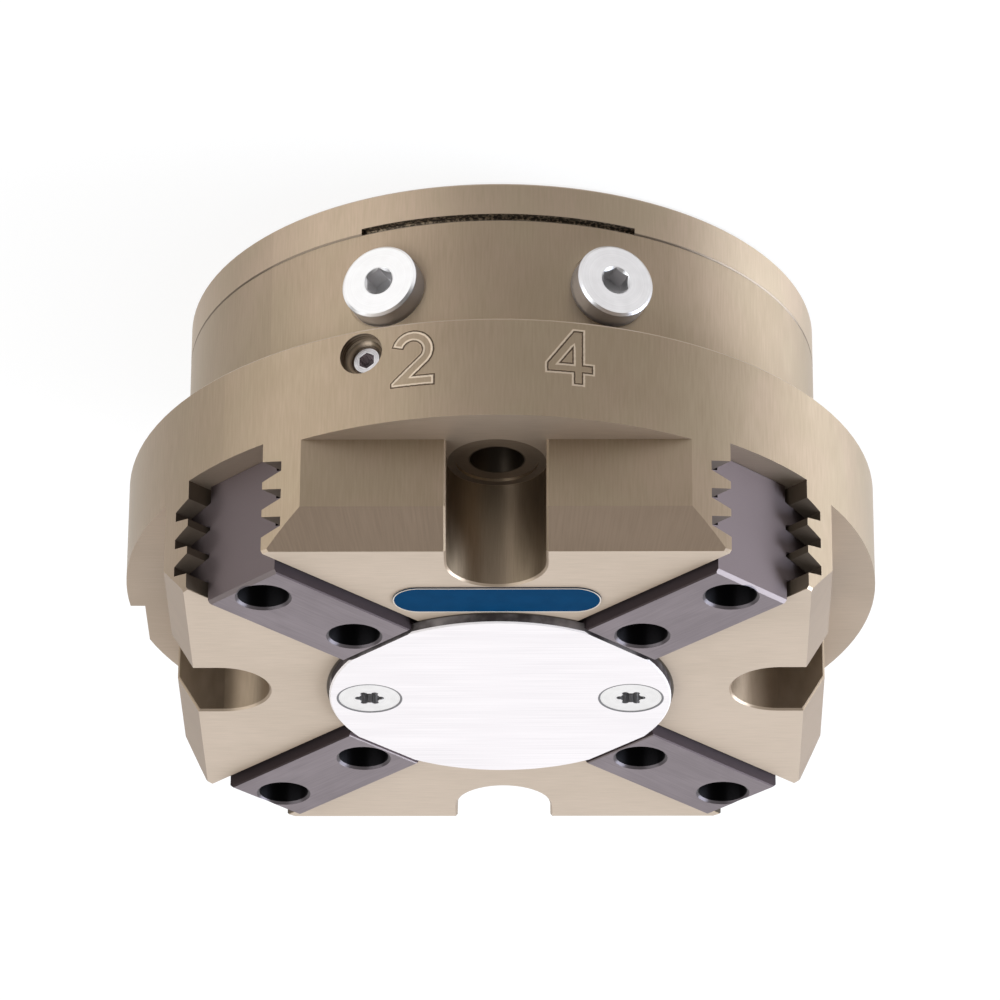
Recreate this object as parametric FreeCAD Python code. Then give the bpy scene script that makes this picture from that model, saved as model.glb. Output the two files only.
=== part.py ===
import FreeCAD, Part
import math
import os

# Four-finger centric gripper with a pneumatic piston, a wedge hook and multi-tooth jaw guides.
# The part stands on its mounting face (z = 0) with the jaws up; the jaws lie along +X, +Y, -X and -Y.
# Rest pose: piston at the bottom, jaws closed. The piston lifts to open the jaws outward.
# All lengths are in millimetres.

os.makedirs("parts", exist_ok=True)
V = FreeCAD.Vector

# Outer body
FLANGE_RADIUS = 75.0
FLANGE_LIP = 11.6
FLANGE_THICKNESS = 43.0
SEAM_Z = 8.3
FLAT_INSET = 10.0
FLAT_HEIGHT = 21.85
FACET_HEIGHT = 7.45
FACET_ANGLE = 30.6
EDGE_BREAK = 0.5
FRONT_ANGLE = -45.0

# Mounting bolts, reached through the four U-notches
BOLT_EDGE_DISTANCE = 7.9
BOLT_HOLE_RADIUS = 5.25
BOLT_SEAT_RADIUS = 8.0
BOLT_SEAT_DEPTH = 0.6
NOTCH_RADIUS = 9.6
NOTCH_EDGE_BREAK = 0.4

# Sensor recess in the flange rim
RECESS_DEPTH = 3.2
RECESS_START = 6.4
RECESS_HEIGHT = 10.5

# Multi-tooth jaw guide
GUIDE_DEPTH = 23.5
GUIDE_HALF_WIDTH = 10.7
GROOVE_DEPTH = 4.5
GROOVE_ROOT = 2.0
GROOVE_FLANK = 15.0
GROOVE_PITCH = 5.95
GROOVE_COUNT = 3
FIRST_GROOVE_DEPTH = 5.5

# Base jaws
JAW_PROUD = 2.0
JAW_HALF_WIDTH = 9.5
JAW_END_INSET = 5.5
JAW_TAIL_END = 12.5
JAW_TEETH_INNER_END = 24.0
JAW_END_BREAK = 0.7
JAW_SIDE_BREAK = 0.25
JAW_HOLE_INNER = 39.7
JAW_HOLE_END_DISTANCE = 5.8
JAW_SEAT_RADIUS = 5.0
JAW_SEAT_DEPTH = 6.0
JAW_SEAT_CHAMFER = 0.5
JAW_THREAD_RADIUS = 3.4
JAW_THREAD_DEPTH = 16.0

# Wedge hook and its T-slots, leaning by the wedge angle
WEDGE_ANGLE = 30.0
WEDGE_FACE_RADIUS = 11.0
WEDGE_HALF_WIDTH = 9.0
HOOK_NECK_HALF_WIDTH = 4.5
HOOK_HEAD_HALF_WIDTH = 7.0
HOOK_LIP = 3.5
HOOK_REACH = 7.5
HOOK_WEB = 5.15
HOOK_TOP_GAP = 0.65
POCKET_DEPTH = 10.3
POCKET_CLEARANCE = 0.6
POCKET_FLOOR_GAP = 0.2

# Cylinder, piston and rod
BORE_WALL = 6.25
SPIGOT_HEIGHT = 4.2
PISTON_THICKNESS = 10.4
PISTON_STROKE = 13.8
PISTON_REST_GAP = 0.1
PISTON_END_GAP = 0.5
PARTITION_THICKNESS = 8.5
PISTON_CHAMFER = 1.5
ROD_RADIUS = 11.0
ROD_SPIGOT_RADIUS = 7.0
BUSH_WALL = 2.5
BUSH_LENGTH = 4.4
ROD_SEAL_WALL = 3.5
ROD_SEAL_HEIGHT = 3.0
ROD_SEAL_GAP = 0.9
PISTON_SEAL_DEPTH = 4.0
PISTON_SEAL_HEIGHT = 3.0
PISTON_SEAL_OFFSET = 2.4
GUIDE_RING_DEPTH = 2.0
GUIDE_RING_HEIGHT = 2.6
GUIDE_RING_OFFSET = 6.8
O_RING_DEPTH = 1.6
O_RING_HEIGHT = 2.2
O_RING_OFFSET = 1.0

# Clearances
SLIDE_CLEARANCE = 0.06
GUIDE_FLOOR_CLEARANCE = 0.1
TOOTH_TIP_CLEARANCE = 0.3
HOOK_CLEARANCE = 0.1
RUNNING_FIT = 0.04
PISTON_SIDE_CLEARANCE = 0.3
ROD_CLEARANCE = 0.3
SEAT_CLEARANCE = 0.05
SCREW_HOLE_CLEARANCE = 0.4

# Centre cover
COVER_DISC_RADIUS = 34.0
COVER_DISC_FLAT_INSET = 1.2
COVER_DISC_JAW_GAP = 0.5
COVER_DISC_THICKNESS = 2.0
COVER_DISC_EDGE = 0.3
DISC_SCREW_RADIUS = 26.0
DISC_SCREW_HEAD_RADIUS = 6.2
DISC_SCREW_SHANK_RADIUS = 2.5
DISC_SCREW_LENGTH = 12.0
DISC_SCREW_RECESS = 0.1
SIX_LOBE_RADIUS = 2.9
SIX_LOBE_DEPTH = 2.2

# Air ports with plugs, and the set screw below the left port
PORT_SPREAD = 20.0
PORT_DROP = 14.6
PORT_RADIUS = 4.4
PORT_DEPTH = 10.9
SPOT_FACE_DEPTH = 0.6
SPOT_FACE_RADIUS = 8.1
PLUG_COLLAR_RADIUS = 7.7
PLUG_COLLAR_HEIGHT = 4.8
PLUG_RIM = 0.5
PLUG_SHANK_LENGTH = 7.0
PLUG_HEX = 5.0
PLUG_HEX_DEPTH = 5.0
PLUG_SEAL_RADIUS = 5.9
PLUG_SEAL_HEIGHT = 0.9
CHANNEL_RADIUS = 2.0
PURGE_SPREAD = 20.3
PURGE_RISE = 5.3
PURGE_CHANNEL_END = 20.0
PURGE_CHANNEL_RISE = 3.5
PURGE_BORE_RADIUS = 4.35
PURGE_BORE_DEPTH = 2.0
SET_SCREW_RADIUS = 3.0
SET_SCREW_SEAT = 3.0
SET_SCREW_LENGTH = 8.0
SET_SCREW_RIM = 0.4
SET_SCREW_HEX = 3.0
SET_SCREW_HEX_DEPTH = 3.0

# Cylinder cover details on the mounting side
COVER_SCREW_BORE_DISTANCE = 10.0
COVER_SCREW_RADIUS = 2.5
COVER_SCREW_HEAD_RADIUS = 4.25
COVER_SCREW_HEAD_HEIGHT = 5.0
COVER_SCREW_BORE_RADIUS = 4.75
COVER_SCREW_BORE_DEPTH = 5.4
COVER_SCREW_GRIP = 10.0
COVER_SCREW_RUNOUT = 1.5
COVER_SCREW_HEX = 4.0
RELIEF_SPREAD = 25.0
RELIEF_HEIGHT = 1.3
RELIEF_DEPTH = 1.6
DOWEL_ANGLE = 20.0
DOWEL_RADIUS = 3.0
DOWEL_DEPTH = 6.0
DIRECT_PORT_BORE_DISTANCE = 11.0
DIRECT_SCREW_RADIUS = 3.0
DIRECT_SCREW_LENGTH = 5.0
DIRECT_SCREW_SEAT = 0.6
DIRECT_SCREW_HEX = 3.0
DIRECT_SCREW_HEX_DEPTH = 2.5

# Piston screw
PISTON_SCREW_RADIUS = 4.0
PISTON_SCREW_HEAD_RADIUS = 6.5
PISTON_SCREW_HEAD_HEIGHT = 7.6
PISTON_SCREW_BORE_RADIUS = 6.9
PISTON_SCREW_BORE_DEPTH = 8.0
PISTON_SCREW_LENGTH = 16.0
PISTON_SCREW_HEX = 6.0
PISTON_SCREW_HEX_DEPTH = 4.0

# Levels, stacked from the mounting face up
WEDGE_SLOPE = math.tan(math.radians(WEDGE_ANGLE))
FACET_SLOPE = math.tan(math.radians(FACET_ANGLE))
FLANK_SLOPE = math.tan(math.radians(GROOVE_FLANK))
SPIGOT_TOP_Z = SEAM_Z + SPIGOT_HEIGHT
PISTON_Z = SPIGOT_TOP_Z + PISTON_REST_GAP
PISTON_TOP_Z = PISTON_Z + PISTON_THICKNESS
CHAMBER_TOP_Z = PISTON_TOP_Z + PISTON_STROKE + PISTON_END_GAP
POCKET_Z = CHAMBER_TOP_Z + PARTITION_THICKNESS
HOOK_BOTTOM_Z = POCKET_Z + POCKET_FLOOR_GAP
GUIDE_Z = POCKET_Z + POCKET_DEPTH
FACE_Z = GUIDE_Z + GUIDE_DEPTH
JAW_BOTTOM_Z = GUIDE_Z + GUIDE_FLOOR_CLEARANCE
JAW_TOP_Z = FACE_Z + JAW_PROUD
TAIL_TOP_Z = FACE_Z - GUIDE_FLOOR_CLEARANCE
FACET_Z = FACE_Z - FACET_HEIGHT
LEDGE_Z = FACE_Z - FLAT_HEIGHT
FLANGE_Z = FACE_Z - FLANGE_THICKNESS
PORT_Z = FLANGE_Z - PORT_DROP
PURGE_Z = FLANGE_Z + PURGE_RISE
HOOK_TOP_Z = FACE_Z - HOOK_TOP_GAP - PISTON_STROKE
SCREW_SEAT_Z = HOOK_TOP_Z - PISTON_SCREW_BORE_DEPTH
ROD_TOP_Z = SCREW_SEAT_Z - HOOK_WEB

# Distances from the tool axis, from the flange inward
BARREL_RADIUS = FLANGE_RADIUS - FLANGE_LIP
BOLT_CIRCLE_RADIUS = BARREL_RADIUS - BOLT_EDGE_DISTANCE
BORE_RADIUS = BOLT_CIRCLE_RADIUS - BOLT_HOLE_RADIUS - BORE_WALL
COVER_SCREW_CIRCLE = BORE_RADIUS + COVER_SCREW_BORE_DISTANCE
DIRECT_PORT_CIRCLE = BORE_RADIUS + DIRECT_PORT_BORE_DISTANCE
FLAT_DISTANCE = FLANGE_RADIUS - FLAT_INSET
RECESS_FLOOR = FLANGE_RADIUS - RECESS_DEPTH
SPOT_FACE_DISTANCE = BARREL_RADIUS - SPOT_FACE_DEPTH
PORT_FLOOR = BARREL_RADIUS - PORT_DEPTH
JAW_OUTER_END = FLANGE_RADIUS - JAW_END_INSET
JAW_HOLE_OUTER = JAW_OUTER_END - JAW_HOLE_END_DISTANCE
COVER_DISC_FLAT = COVER_DISC_RADIUS - COVER_DISC_FLAT_INSET
JAW_TOP_INNER_END = COVER_DISC_FLAT + COVER_DISC_JAW_GAP
HOOK_FOOT_REACH = WEDGE_FACE_RADIUS + (FACE_Z - HOOK_BOTTOM_Z) * WEDGE_SLOPE + HOOK_REACH - HOOK_CLEARANCE
POCKET_REACH = HOOK_FOOT_REACH + POCKET_CLEARANCE
POCKET_HALF_WIDTH = WEDGE_HALF_WIDTH + POCKET_CLEARANCE
BEYOND = 6.0


def post(radius, z0, z1, x=0.0, y=0.0):
    """Upright cylinder between two levels."""
    return Part.makeCylinder(radius, z1 - z0, V(x, y, z0))


def box(x0, x1, y0, y1, z0, z1):
    """Box between three pairs of limits."""
    return Part.makeBox(x1 - x0, y1 - y0, z1 - z0, V(x0, y0, z0))


def face_of(points):
    """Flat face through a closed run of points."""
    return Part.Face(Part.makePolygon(points + [points[0]]))


def turned(profile):
    """Solid of revolution about Z from (radius, z) pairs."""
    face = face_of([V(radius, 0, z) for radius, z in profile])
    return face.revolve(V(0, 0, 0), V(0, 0, 1), 360)


def ring(inner, outer, z0, z1):
    """Square-section ring."""
    return turned([(inner, z0), (outer, z0), (outer, z1), (inner, z1)])


def rounded_ring(inner, outer, z0, z1, corner):
    """Ring whose section has its four corners taken off."""
    section = [
        (inner + corner, z0), (outer - corner, z0), (outer, z0 + corner), (outer, z1 - corner),
        (outer - corner, z1), (inner + corner, z1), (inner, z1 - corner), (inner, z0 + corner),
    ]
    return turned(section)


def cross_section_prism(points, x0, x1):
    """Prism along X from (y, z) pairs."""
    face = face_of([V(x0, y, z) for y, z in points])
    return face.extrude(V(x1 - x0, 0, 0))


def side_prism(points, y0, y1):
    """Prism along Y from (x, z) pairs."""
    face = face_of([V(x, y0, z) for x, z in points])
    return face.extrude(V(0, y1 - y0, 0))


def plan_prism(points, z0, z1, lean=0.0):
    """Prism along Z from (x, y) pairs; lean moves it along X per unit of height."""
    face = face_of([V(x, y, z0) for x, y in points])
    return face.extrude(V(lean * (z1 - z0), 0, z1 - z0))


def edge_breaks(middle, half_length, half_width, top, end_break, side_break):
    """Four prisms that take the top edges off a block along X."""
    end = half_length + 1
    side = half_width + 1
    breaks = []
    for sign in (1, -1):
        limit = middle + sign * half_length
        end_section = [
            (limit - sign * end_break, top), (limit + sign, top + 1 + end_break),
            (limit + sign, top - end_break - 1), (limit, top - end_break),
        ]
        breaks.append(side_prism(end_section, -side, side))
        edge = sign * half_width
        side_section = [
            (edge - sign * side_break, top), (edge + sign, top + 1 + side_break),
            (edge + sign, top - side_break - 1), (edge, top - side_break),
        ]
        breaks.append(cross_section_prism(side_section, middle - end, middle + end))
    return breaks


def spun(shape, angle):
    """Copy of a shape turned about the tool axis."""
    copy = shape.copy()
    copy.rotate(V(0, 0, 0), V(0, 0, 1), angle)
    return copy


def around(shape, count, first=0.0):
    """Evenly spaced copies of a shape about the tool axis."""
    return [spun(shape, first + 360.0 * index / count) for index in range(count)]


def joined(shapes):
    """Union of several shapes, with coplanar faces merged."""
    return shapes[0].multiFuse(shapes[1:]).removeSplitter()


def hexagon(across_flats, z0, z1):
    """Upright hexagonal bar."""
    corner = across_flats / math.sqrt(3.0)
    corners = [(corner * math.cos(math.radians(60 * k)), corner * math.sin(math.radians(60 * k)))
               for k in range(6)]
    return plan_prism(corners, z0, z1)


def lay_radial(shape, radius, z, angle):
    """Turns an upright shape so that its +Z points outward, and puts its origin on the wall."""
    copy = shape.copy()
    copy.rotate(V(0, 0, 0), V(0, 1, 0), 90)
    copy.translate(V(radius, 0, z))
    return spun(copy, angle)


def drilled(radius, start, end, angle):
    """Slanted drill hole between two (radius, z) points in one radial plane."""
    run = V(end[0] - start[0], 0, end[1] - start[1])
    return spun(Part.makeCylinder(radius, run.Length, V(start[0], 0, start[1]), run), angle)


def tooth_levels():
    """Heights of the groove centres, from the lowest up."""
    levels = [FACE_Z - FIRST_GROOVE_DEPTH - GROOVE_PITCH * k for k in range(GROOVE_COUNT)]
    return sorted(levels)


def toothed_section(half_width, bottom, top, tip, shrink):
    """Mirrored (y, z) section with trapezoid teeth reaching out to the tip."""
    root_line = GUIDE_HALF_WIDTH + GROOVE_DEPTH

    def half_tooth(y):
        return GROOVE_ROOT / 2 + (root_line - y) * FLANK_SLOPE - shrink

    right = [(half_width, bottom)]
    for level in tooth_levels():
        right.append((half_width, level - half_tooth(half_width)))
        right.append((tip, level - half_tooth(tip)))
        right.append((tip, level + half_tooth(tip)))
        right.append((half_width, level + half_tooth(half_width)))
    right.append((half_width, top))
    return right + [(-y, z) for y, z in reversed(right)]


def wedge_radius(z):
    """Radius of the jaws' leaning inner face at a height, in the closed pose."""
    return WEDGE_FACE_RADIUS + (FACE_Z - z) * WEDGE_SLOPE


def hook_section(z, slack):
    """Plan of the T-rib at a height; slack makes it smaller than the T-slot."""
    base = wedge_radius(z)
    neck = HOOK_NECK_HALF_WIDTH - slack
    head = HOOK_HEAD_HALF_WIDTH - slack
    return [
        (base - HOOK_LIP, -neck), (base + HOOK_LIP + slack, -neck), (base + HOOK_LIP + slack, -head),
        (base + HOOK_REACH - slack, -head), (base + HOOK_REACH - slack, head),
        (base + HOOK_LIP + slack, head), (base + HOOK_LIP + slack, neck), (base - HOOK_LIP, neck),
    ]


PORT_ANGLES = {"a": FRONT_ANGLE - PORT_SPREAD, "b": FRONT_ANGLE + PORT_SPREAD}
PURGE_ANGLE = FRONT_ANGLE + PURGE_SPREAD
BOLT_ANGLES = 45.0
DISC_SCREW_ANGLE = 45.0


def bolt_holes(z0, z1):
    """The four through holes for the mounting bolts."""
    return around(post(BOLT_HOLE_RADIUS, z0, z1, BOLT_CIRCLE_RADIUS), 4, BOLT_ANGLES)


def on_notch_rim(edge):
    """True for the edges where a U-notch meets the flat, the facet and the jaw face."""
    middle = edge.valueAt((edge.FirstParameter + edge.LastParameter) / 2)
    if middle.z < LEDGE_Z + 1:
        return False
    for number in range(4):
        local = spun(Part.Vertex(middle), -BOLT_ANGLES - 90.0 * number).Point
        if local.x <= 0:
            continue
        if local.x > BOLT_CIRCLE_RADIUS:
            gap = abs(abs(local.y) - NOTCH_RADIUS)
        else:
            gap = abs(math.hypot(local.x - BOLT_CIRCLE_RADIUS, local.y) - NOTCH_RADIUS)
        if gap < 0.01:
            upright = abs(edge.tangentAt(edge.FirstParameter).z) > 0.99
            return not upright or local.x > FLAT_DISTANCE - 0.1
    return False


def countersink(z_top, radius_top, radius_bottom):
    """Cone of a 90 degree countersunk head, hanging from its top level."""
    depth = radius_top - radius_bottom
    return Part.makeCone(radius_bottom, radius_top, depth, V(DISC_SCREW_RADIUS, 0, z_top - depth))


def build_housing():
    """Barrel, flange and guide block in one piece, with guideways, pocket, bore and air passages."""
    body = turned([
        (0, SEAM_Z), (BARREL_RADIUS - EDGE_BREAK / 2, SEAM_Z), (BARREL_RADIUS, SEAM_Z + EDGE_BREAK / 2),
        (BARREL_RADIUS, FLANGE_Z), (FLANGE_RADIUS - EDGE_BREAK, FLANGE_Z),
        (FLANGE_RADIUS, FLANGE_Z + EDGE_BREAK), (FLANGE_RADIUS, FACE_Z - EDGE_BREAK),
        (FLANGE_RADIUS - EDGE_BREAK, FACE_Z), (0, FACE_Z),
    ])
    cuts = []

    # Flats between the jaws, each with a leaning facet towards the jaw face
    top = FACE_Z + BEYOND
    outside = FLANGE_RADIUS + BEYOND
    flat = side_prism([
        (FLAT_DISTANCE, LEDGE_Z), (outside, LEDGE_Z), (outside, top),
        (FLAT_DISTANCE - (top - FACET_Z) * FACET_SLOPE, top), (FLAT_DISTANCE, FACET_Z),
    ], -outside, outside)
    notch = post(NOTCH_RADIUS, LEDGE_Z, top, BOLT_CIRCLE_RADIUS).fuse(
        box(BOLT_CIRCLE_RADIUS, outside, -NOTCH_RADIUS, NOTCH_RADIUS, LEDGE_Z, top))
    body = body.cut(around(flat, 4, BOLT_ANGLES) + around(notch, 4, BOLT_ANGLES))

    # Broken edges along the rims of the U-notches
    rims = [edge for edge in body.Edges if on_notch_rim(edge)]
    body = body.makeChamfer(NOTCH_EDGE_BREAK, rims)

    # Bolt seats and through holes
    seat = post(BOLT_SEAT_RADIUS, LEDGE_Z - BOLT_SEAT_DEPTH, LEDGE_Z + 1, BOLT_CIRCLE_RADIUS)
    cuts += around(seat, 4, BOLT_ANGLES)
    cuts += bolt_holes(SEAM_Z - BEYOND, LEDGE_Z)

    # Recess in the flange rim for a sensor cable
    recess = box(RECESS_FLOOR, outside, RECESS_START, FLANGE_RADIUS, LEDGE_Z - RECESS_HEIGHT, LEDGE_Z + 1)
    cuts.append(spun(recess, -FRONT_ANGLE))

    # Two crossing guideways with trapezoid grooves in both walls
    section = toothed_section(GUIDE_HALF_WIDTH, GUIDE_Z, top, GUIDE_HALF_WIDTH + GROOVE_DEPTH, 0.0)
    guideway = cross_section_prism(section, -outside, outside)
    cuts += [guideway, spun(guideway, 90)]

    # Cross-shaped pocket that the wedge hook rests in
    arm = box(-POCKET_REACH, POCKET_REACH, -POCKET_HALF_WIDTH, POCKET_HALF_WIDTH, POCKET_Z, GUIDE_Z + 1)
    cuts += [arm, spun(arm, 90)]

    # Cylinder bore, rod bore with bush seat and seal groove
    cuts.append(post(BORE_RADIUS, SEAM_Z - BEYOND, CHAMBER_TOP_Z))
    cuts.append(post(ROD_RADIUS + ROD_CLEARANCE, CHAMBER_TOP_Z - 1, POCKET_Z + 1))
    cuts.append(post(ROD_RADIUS + BUSH_WALL, POCKET_Z - BUSH_LENGTH, POCKET_Z + 1))
    seal_z = CHAMBER_TOP_Z + ROD_SEAL_GAP
    cuts.append(post(ROD_RADIUS + ROD_SEAL_WALL, seal_z, seal_z + ROD_SEAL_HEIGHT))

    # Air ports with spot faces, channels to both sides of the piston and to the mounting face
    for angle in PORT_ANGLES.values():
        cuts.append(lay_radial(post(PORT_RADIUS, 0, BARREL_RADIUS), PORT_FLOOR, PORT_Z, angle))
        cuts.append(lay_radial(post(SPOT_FACE_RADIUS, 0, BEYOND), SPOT_FACE_DISTANCE, PORT_Z, angle))
        cuts.append(spun(post(CHANNEL_RADIUS, SEAM_Z - BEYOND, PORT_Z, DIRECT_PORT_CIRCLE), angle))
    inside = BORE_RADIUS - CHANNEL_RADIUS
    start = (PORT_FLOOR + 1, PORT_Z)
    below_piston = (inside, SPIGOT_TOP_Z + CHANNEL_RADIUS / 4)
    above_piston = (inside, CHAMBER_TOP_Z - CHANNEL_RADIUS * 1.5)
    cuts.append(drilled(CHANNEL_RADIUS / 2, start, below_piston, PORT_ANGLES["a"]))
    cuts.append(drilled(CHANNEL_RADIUS, start, above_piston, PORT_ANGLES["b"]))

    # Purge port in the flange, leading into the pocket
    screw_end = FLANGE_RADIUS - SET_SCREW_SEAT - SET_SCREW_LENGTH - 1
    cuts.append(lay_radial(post(SET_SCREW_RADIUS, 0, BARREL_RADIUS), screw_end, PURGE_Z, PURGE_ANGLE))
    bore_floor = FLANGE_RADIUS - PURGE_BORE_DEPTH
    cuts.append(lay_radial(post(PURGE_BORE_RADIUS, 0, BEYOND), bore_floor, PURGE_Z, PURGE_ANGLE))
    funnel = Part.makeCone(SET_SCREW_RADIUS, SET_SCREW_RADIUS + 1, 1)
    cuts.append(lay_radial(funnel, bore_floor - 0.8, PURGE_Z, PURGE_ANGLE))
    cuts.append(drilled(CHANNEL_RADIUS, (screw_end + 1, PURGE_Z),
                        (PURGE_CHANNEL_END, POCKET_Z + PURGE_CHANNEL_RISE), PURGE_ANGLE))

    # Cover screws from below, centre cover screws from above
    tapped_z = SEAM_Z + COVER_SCREW_GRIP + COVER_SCREW_RUNOUT
    cuts += around(post(COVER_SCREW_RADIUS, SEAM_Z - 1, tapped_z, COVER_SCREW_CIRCLE), 4)
    disc_top = FACE_Z + COVER_DISC_THICKNESS
    sink = countersink(disc_top, DISC_SCREW_HEAD_RADIUS, DISC_SCREW_SHANK_RADIUS)
    cuts += around(sink, 2, DISC_SCREW_ANGLE)
    shank = post(DISC_SCREW_SHANK_RADIUS, disc_top - DISC_SCREW_LENGTH - 1, disc_top, DISC_SCREW_RADIUS)
    cuts += around(shank, 2, DISC_SCREW_ANGLE)
    return body.cut(cuts)


def build_cylinder_cover():
    """Mounting plate that closes the bore, with spigot and O-ring groove."""
    spigot = BORE_RADIUS - SEAT_CLEARANCE
    groove_z = SEAM_Z + O_RING_OFFSET
    body = turned([
        (0, 0), (BARREL_RADIUS - EDGE_BREAK, 0), (BARREL_RADIUS, EDGE_BREAK),
        (BARREL_RADIUS, SEAM_Z - EDGE_BREAK / 2), (BARREL_RADIUS - EDGE_BREAK / 2, SEAM_Z),
        (spigot, SEAM_Z), (spigot, groove_z), (spigot - O_RING_DEPTH, groove_z),
        (spigot - O_RING_DEPTH, groove_z + O_RING_HEIGHT), (spigot, groove_z + O_RING_HEIGHT),
        (spigot, SPIGOT_TOP_Z - EDGE_BREAK), (spigot - EDGE_BREAK, SPIGOT_TOP_Z), (0, SPIGOT_TOP_Z),
    ])
    cuts = bolt_holes(-1, SEAM_Z + 1)
    cuts += around(post(COVER_SCREW_RADIUS, -1, SEAM_Z + 1, COVER_SCREW_CIRCLE), 4)
    cuts += around(post(COVER_SCREW_BORE_RADIUS, -1, COVER_SCREW_BORE_DEPTH, COVER_SCREW_CIRCLE), 4)
    cuts += around(post(DOWEL_RADIUS, -1, DOWEL_DEPTH, BOLT_CIRCLE_RADIUS), 2, DOWEL_ANGLE)
    for angle in PORT_ANGLES.values():
        cuts.append(spun(post(CHANNEL_RADIUS, -1, SEAM_Z + 1, DIRECT_PORT_CIRCLE), angle))
        seat = post(DIRECT_SCREW_RADIUS, -1, DIRECT_SCREW_SEAT + DIRECT_SCREW_LENGTH, DIRECT_PORT_CIRCLE)
        cuts.append(spun(seat, angle))

    # Relief slot in the seam over the ports
    relief = ring(BARREL_RADIUS - RELIEF_DEPTH, BARREL_RADIUS + 1, SEAM_Z - RELIEF_HEIGHT, SEAM_Z + 1)
    reach = BARREL_RADIUS * 2
    half = math.radians(RELIEF_SPREAD)
    sector = plan_prism([(0, 0), (reach * math.cos(half), -reach * math.sin(half)),
                         (reach * math.cos(half), reach * math.sin(half))], 0, SEAM_Z + 1)
    cuts.append(spun(relief.common(sector), FRONT_ANGLE))
    return body.cut(cuts)


def build_cover_o_ring():
    """O-ring between the spigot and the bore."""
    spigot = BORE_RADIUS - SEAT_CLEARANCE
    groove_z = SEAM_Z + O_RING_OFFSET
    return rounded_ring(spigot - O_RING_DEPTH, BORE_RADIUS, groove_z, groove_z + O_RING_HEIGHT, 0.5)


def build_cover_screws():
    """Four socket-head screws that hold the cylinder cover."""
    seat_z = COVER_SCREW_BORE_DEPTH
    head_z = seat_z - COVER_SCREW_HEAD_HEIGHT
    screw = post(COVER_SCREW_HEAD_RADIUS, head_z, seat_z).fuse(
        post(COVER_SCREW_RADIUS, seat_z, SEAM_Z + COVER_SCREW_GRIP))
    screw = screw.cut(hexagon(COVER_SCREW_HEX, head_z - 1, head_z + 2.5))
    screw.translate(V(COVER_SCREW_CIRCLE, 0, 0))
    return Part.makeCompound(around(screw.removeSplitter(), 4))


def build_centre_cover():
    """Thin disc over the wedge hook, with four flats facing the jaws."""
    top = FACE_Z + COVER_DISC_THICKNESS
    body = turned([
        (0, FACE_Z), (COVER_DISC_RADIUS, FACE_Z), (COVER_DISC_RADIUS, top - COVER_DISC_EDGE),
        (COVER_DISC_RADIUS - COVER_DISC_EDGE, top), (0, top),
    ])
    beyond_flat = box(COVER_DISC_FLAT, COVER_DISC_RADIUS + 1, -COVER_DISC_RADIUS, COVER_DISC_RADIUS,
                      FACE_Z - 1, top + 1)
    cuts = around(beyond_flat, 4)
    cuts += around(countersink(top, DISC_SCREW_HEAD_RADIUS, DISC_SCREW_SHANK_RADIUS), 2, DISC_SCREW_ANGLE)
    return body.cut(cuts)


def build_centre_cover_screws():
    """Two countersunk screws with six-lobe sockets."""
    top = FACE_Z + COVER_DISC_THICKNESS
    head_top = top - DISC_SCREW_RECESS
    head = countersink(top, DISC_SCREW_HEAD_RADIUS, DISC_SCREW_SHANK_RADIUS)
    head = head.cut(post(DISC_SCREW_HEAD_RADIUS + 1, head_top, top + 1, DISC_SCREW_RADIUS))
    shank = post(DISC_SCREW_SHANK_RADIUS, top - DISC_SCREW_LENGTH, head_top - 1, DISC_SCREW_RADIUS)
    core = post(SIX_LOBE_RADIUS * 0.72, head_top - SIX_LOBE_DEPTH, head_top + 1, DISC_SCREW_RADIUS)
    lobe = post(SIX_LOBE_RADIUS * 0.24, head_top - SIX_LOBE_DEPTH, head_top + 1, SIX_LOBE_RADIUS * 0.76)
    lobes = around(lobe, 6)
    for shape in lobes:
        shape.translate(V(DISC_SCREW_RADIUS, 0, 0))
    screw = joined([head, shank]).cut(joined([core] + lobes))
    return Part.makeCompound(around(screw, 2, DISC_SCREW_ANGLE))


def build_air_plug(angle):
    """Collared screw plug of an air port, with a hexagon socket."""
    collar = turned([
        (0, 0), (PLUG_COLLAR_RADIUS, 0), (PLUG_COLLAR_RADIUS, PLUG_COLLAR_HEIGHT - PLUG_RIM),
        (PLUG_COLLAR_RADIUS - PLUG_RIM, PLUG_COLLAR_HEIGHT), (0, PLUG_COLLAR_HEIGHT),
    ])
    plug = collar.fuse(post(PORT_RADIUS, -PLUG_SHANK_LENGTH, 0)).removeSplitter()
    plug = plug.cut(hexagon(PLUG_HEX, PLUG_COLLAR_HEIGHT - PLUG_HEX_DEPTH, PLUG_COLLAR_HEIGHT + 1))
    entry = Part.makeCone(PLUG_HEX * 0.5, PLUG_HEX * 0.5 + 1.2, 1.2, V(0, 0, PLUG_COLLAR_HEIGHT - 0.5))
    plug = plug.cut(entry)
    plug = plug.cut(ring(PORT_RADIUS, PLUG_SEAL_RADIUS, -1, PLUG_SEAL_HEIGHT))
    return lay_radial(plug, SPOT_FACE_DISTANCE, PORT_Z, angle)


def build_air_plug_seals():
    """Sealing rings in the undersides of the plug collars."""
    seal = ring(PORT_RADIUS, PLUG_SEAL_RADIUS, 0, PLUG_SEAL_HEIGHT)
    return Part.makeCompound([lay_radial(seal, SPOT_FACE_DISTANCE, PORT_Z, angle)
                              for angle in PORT_ANGLES.values()])


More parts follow.
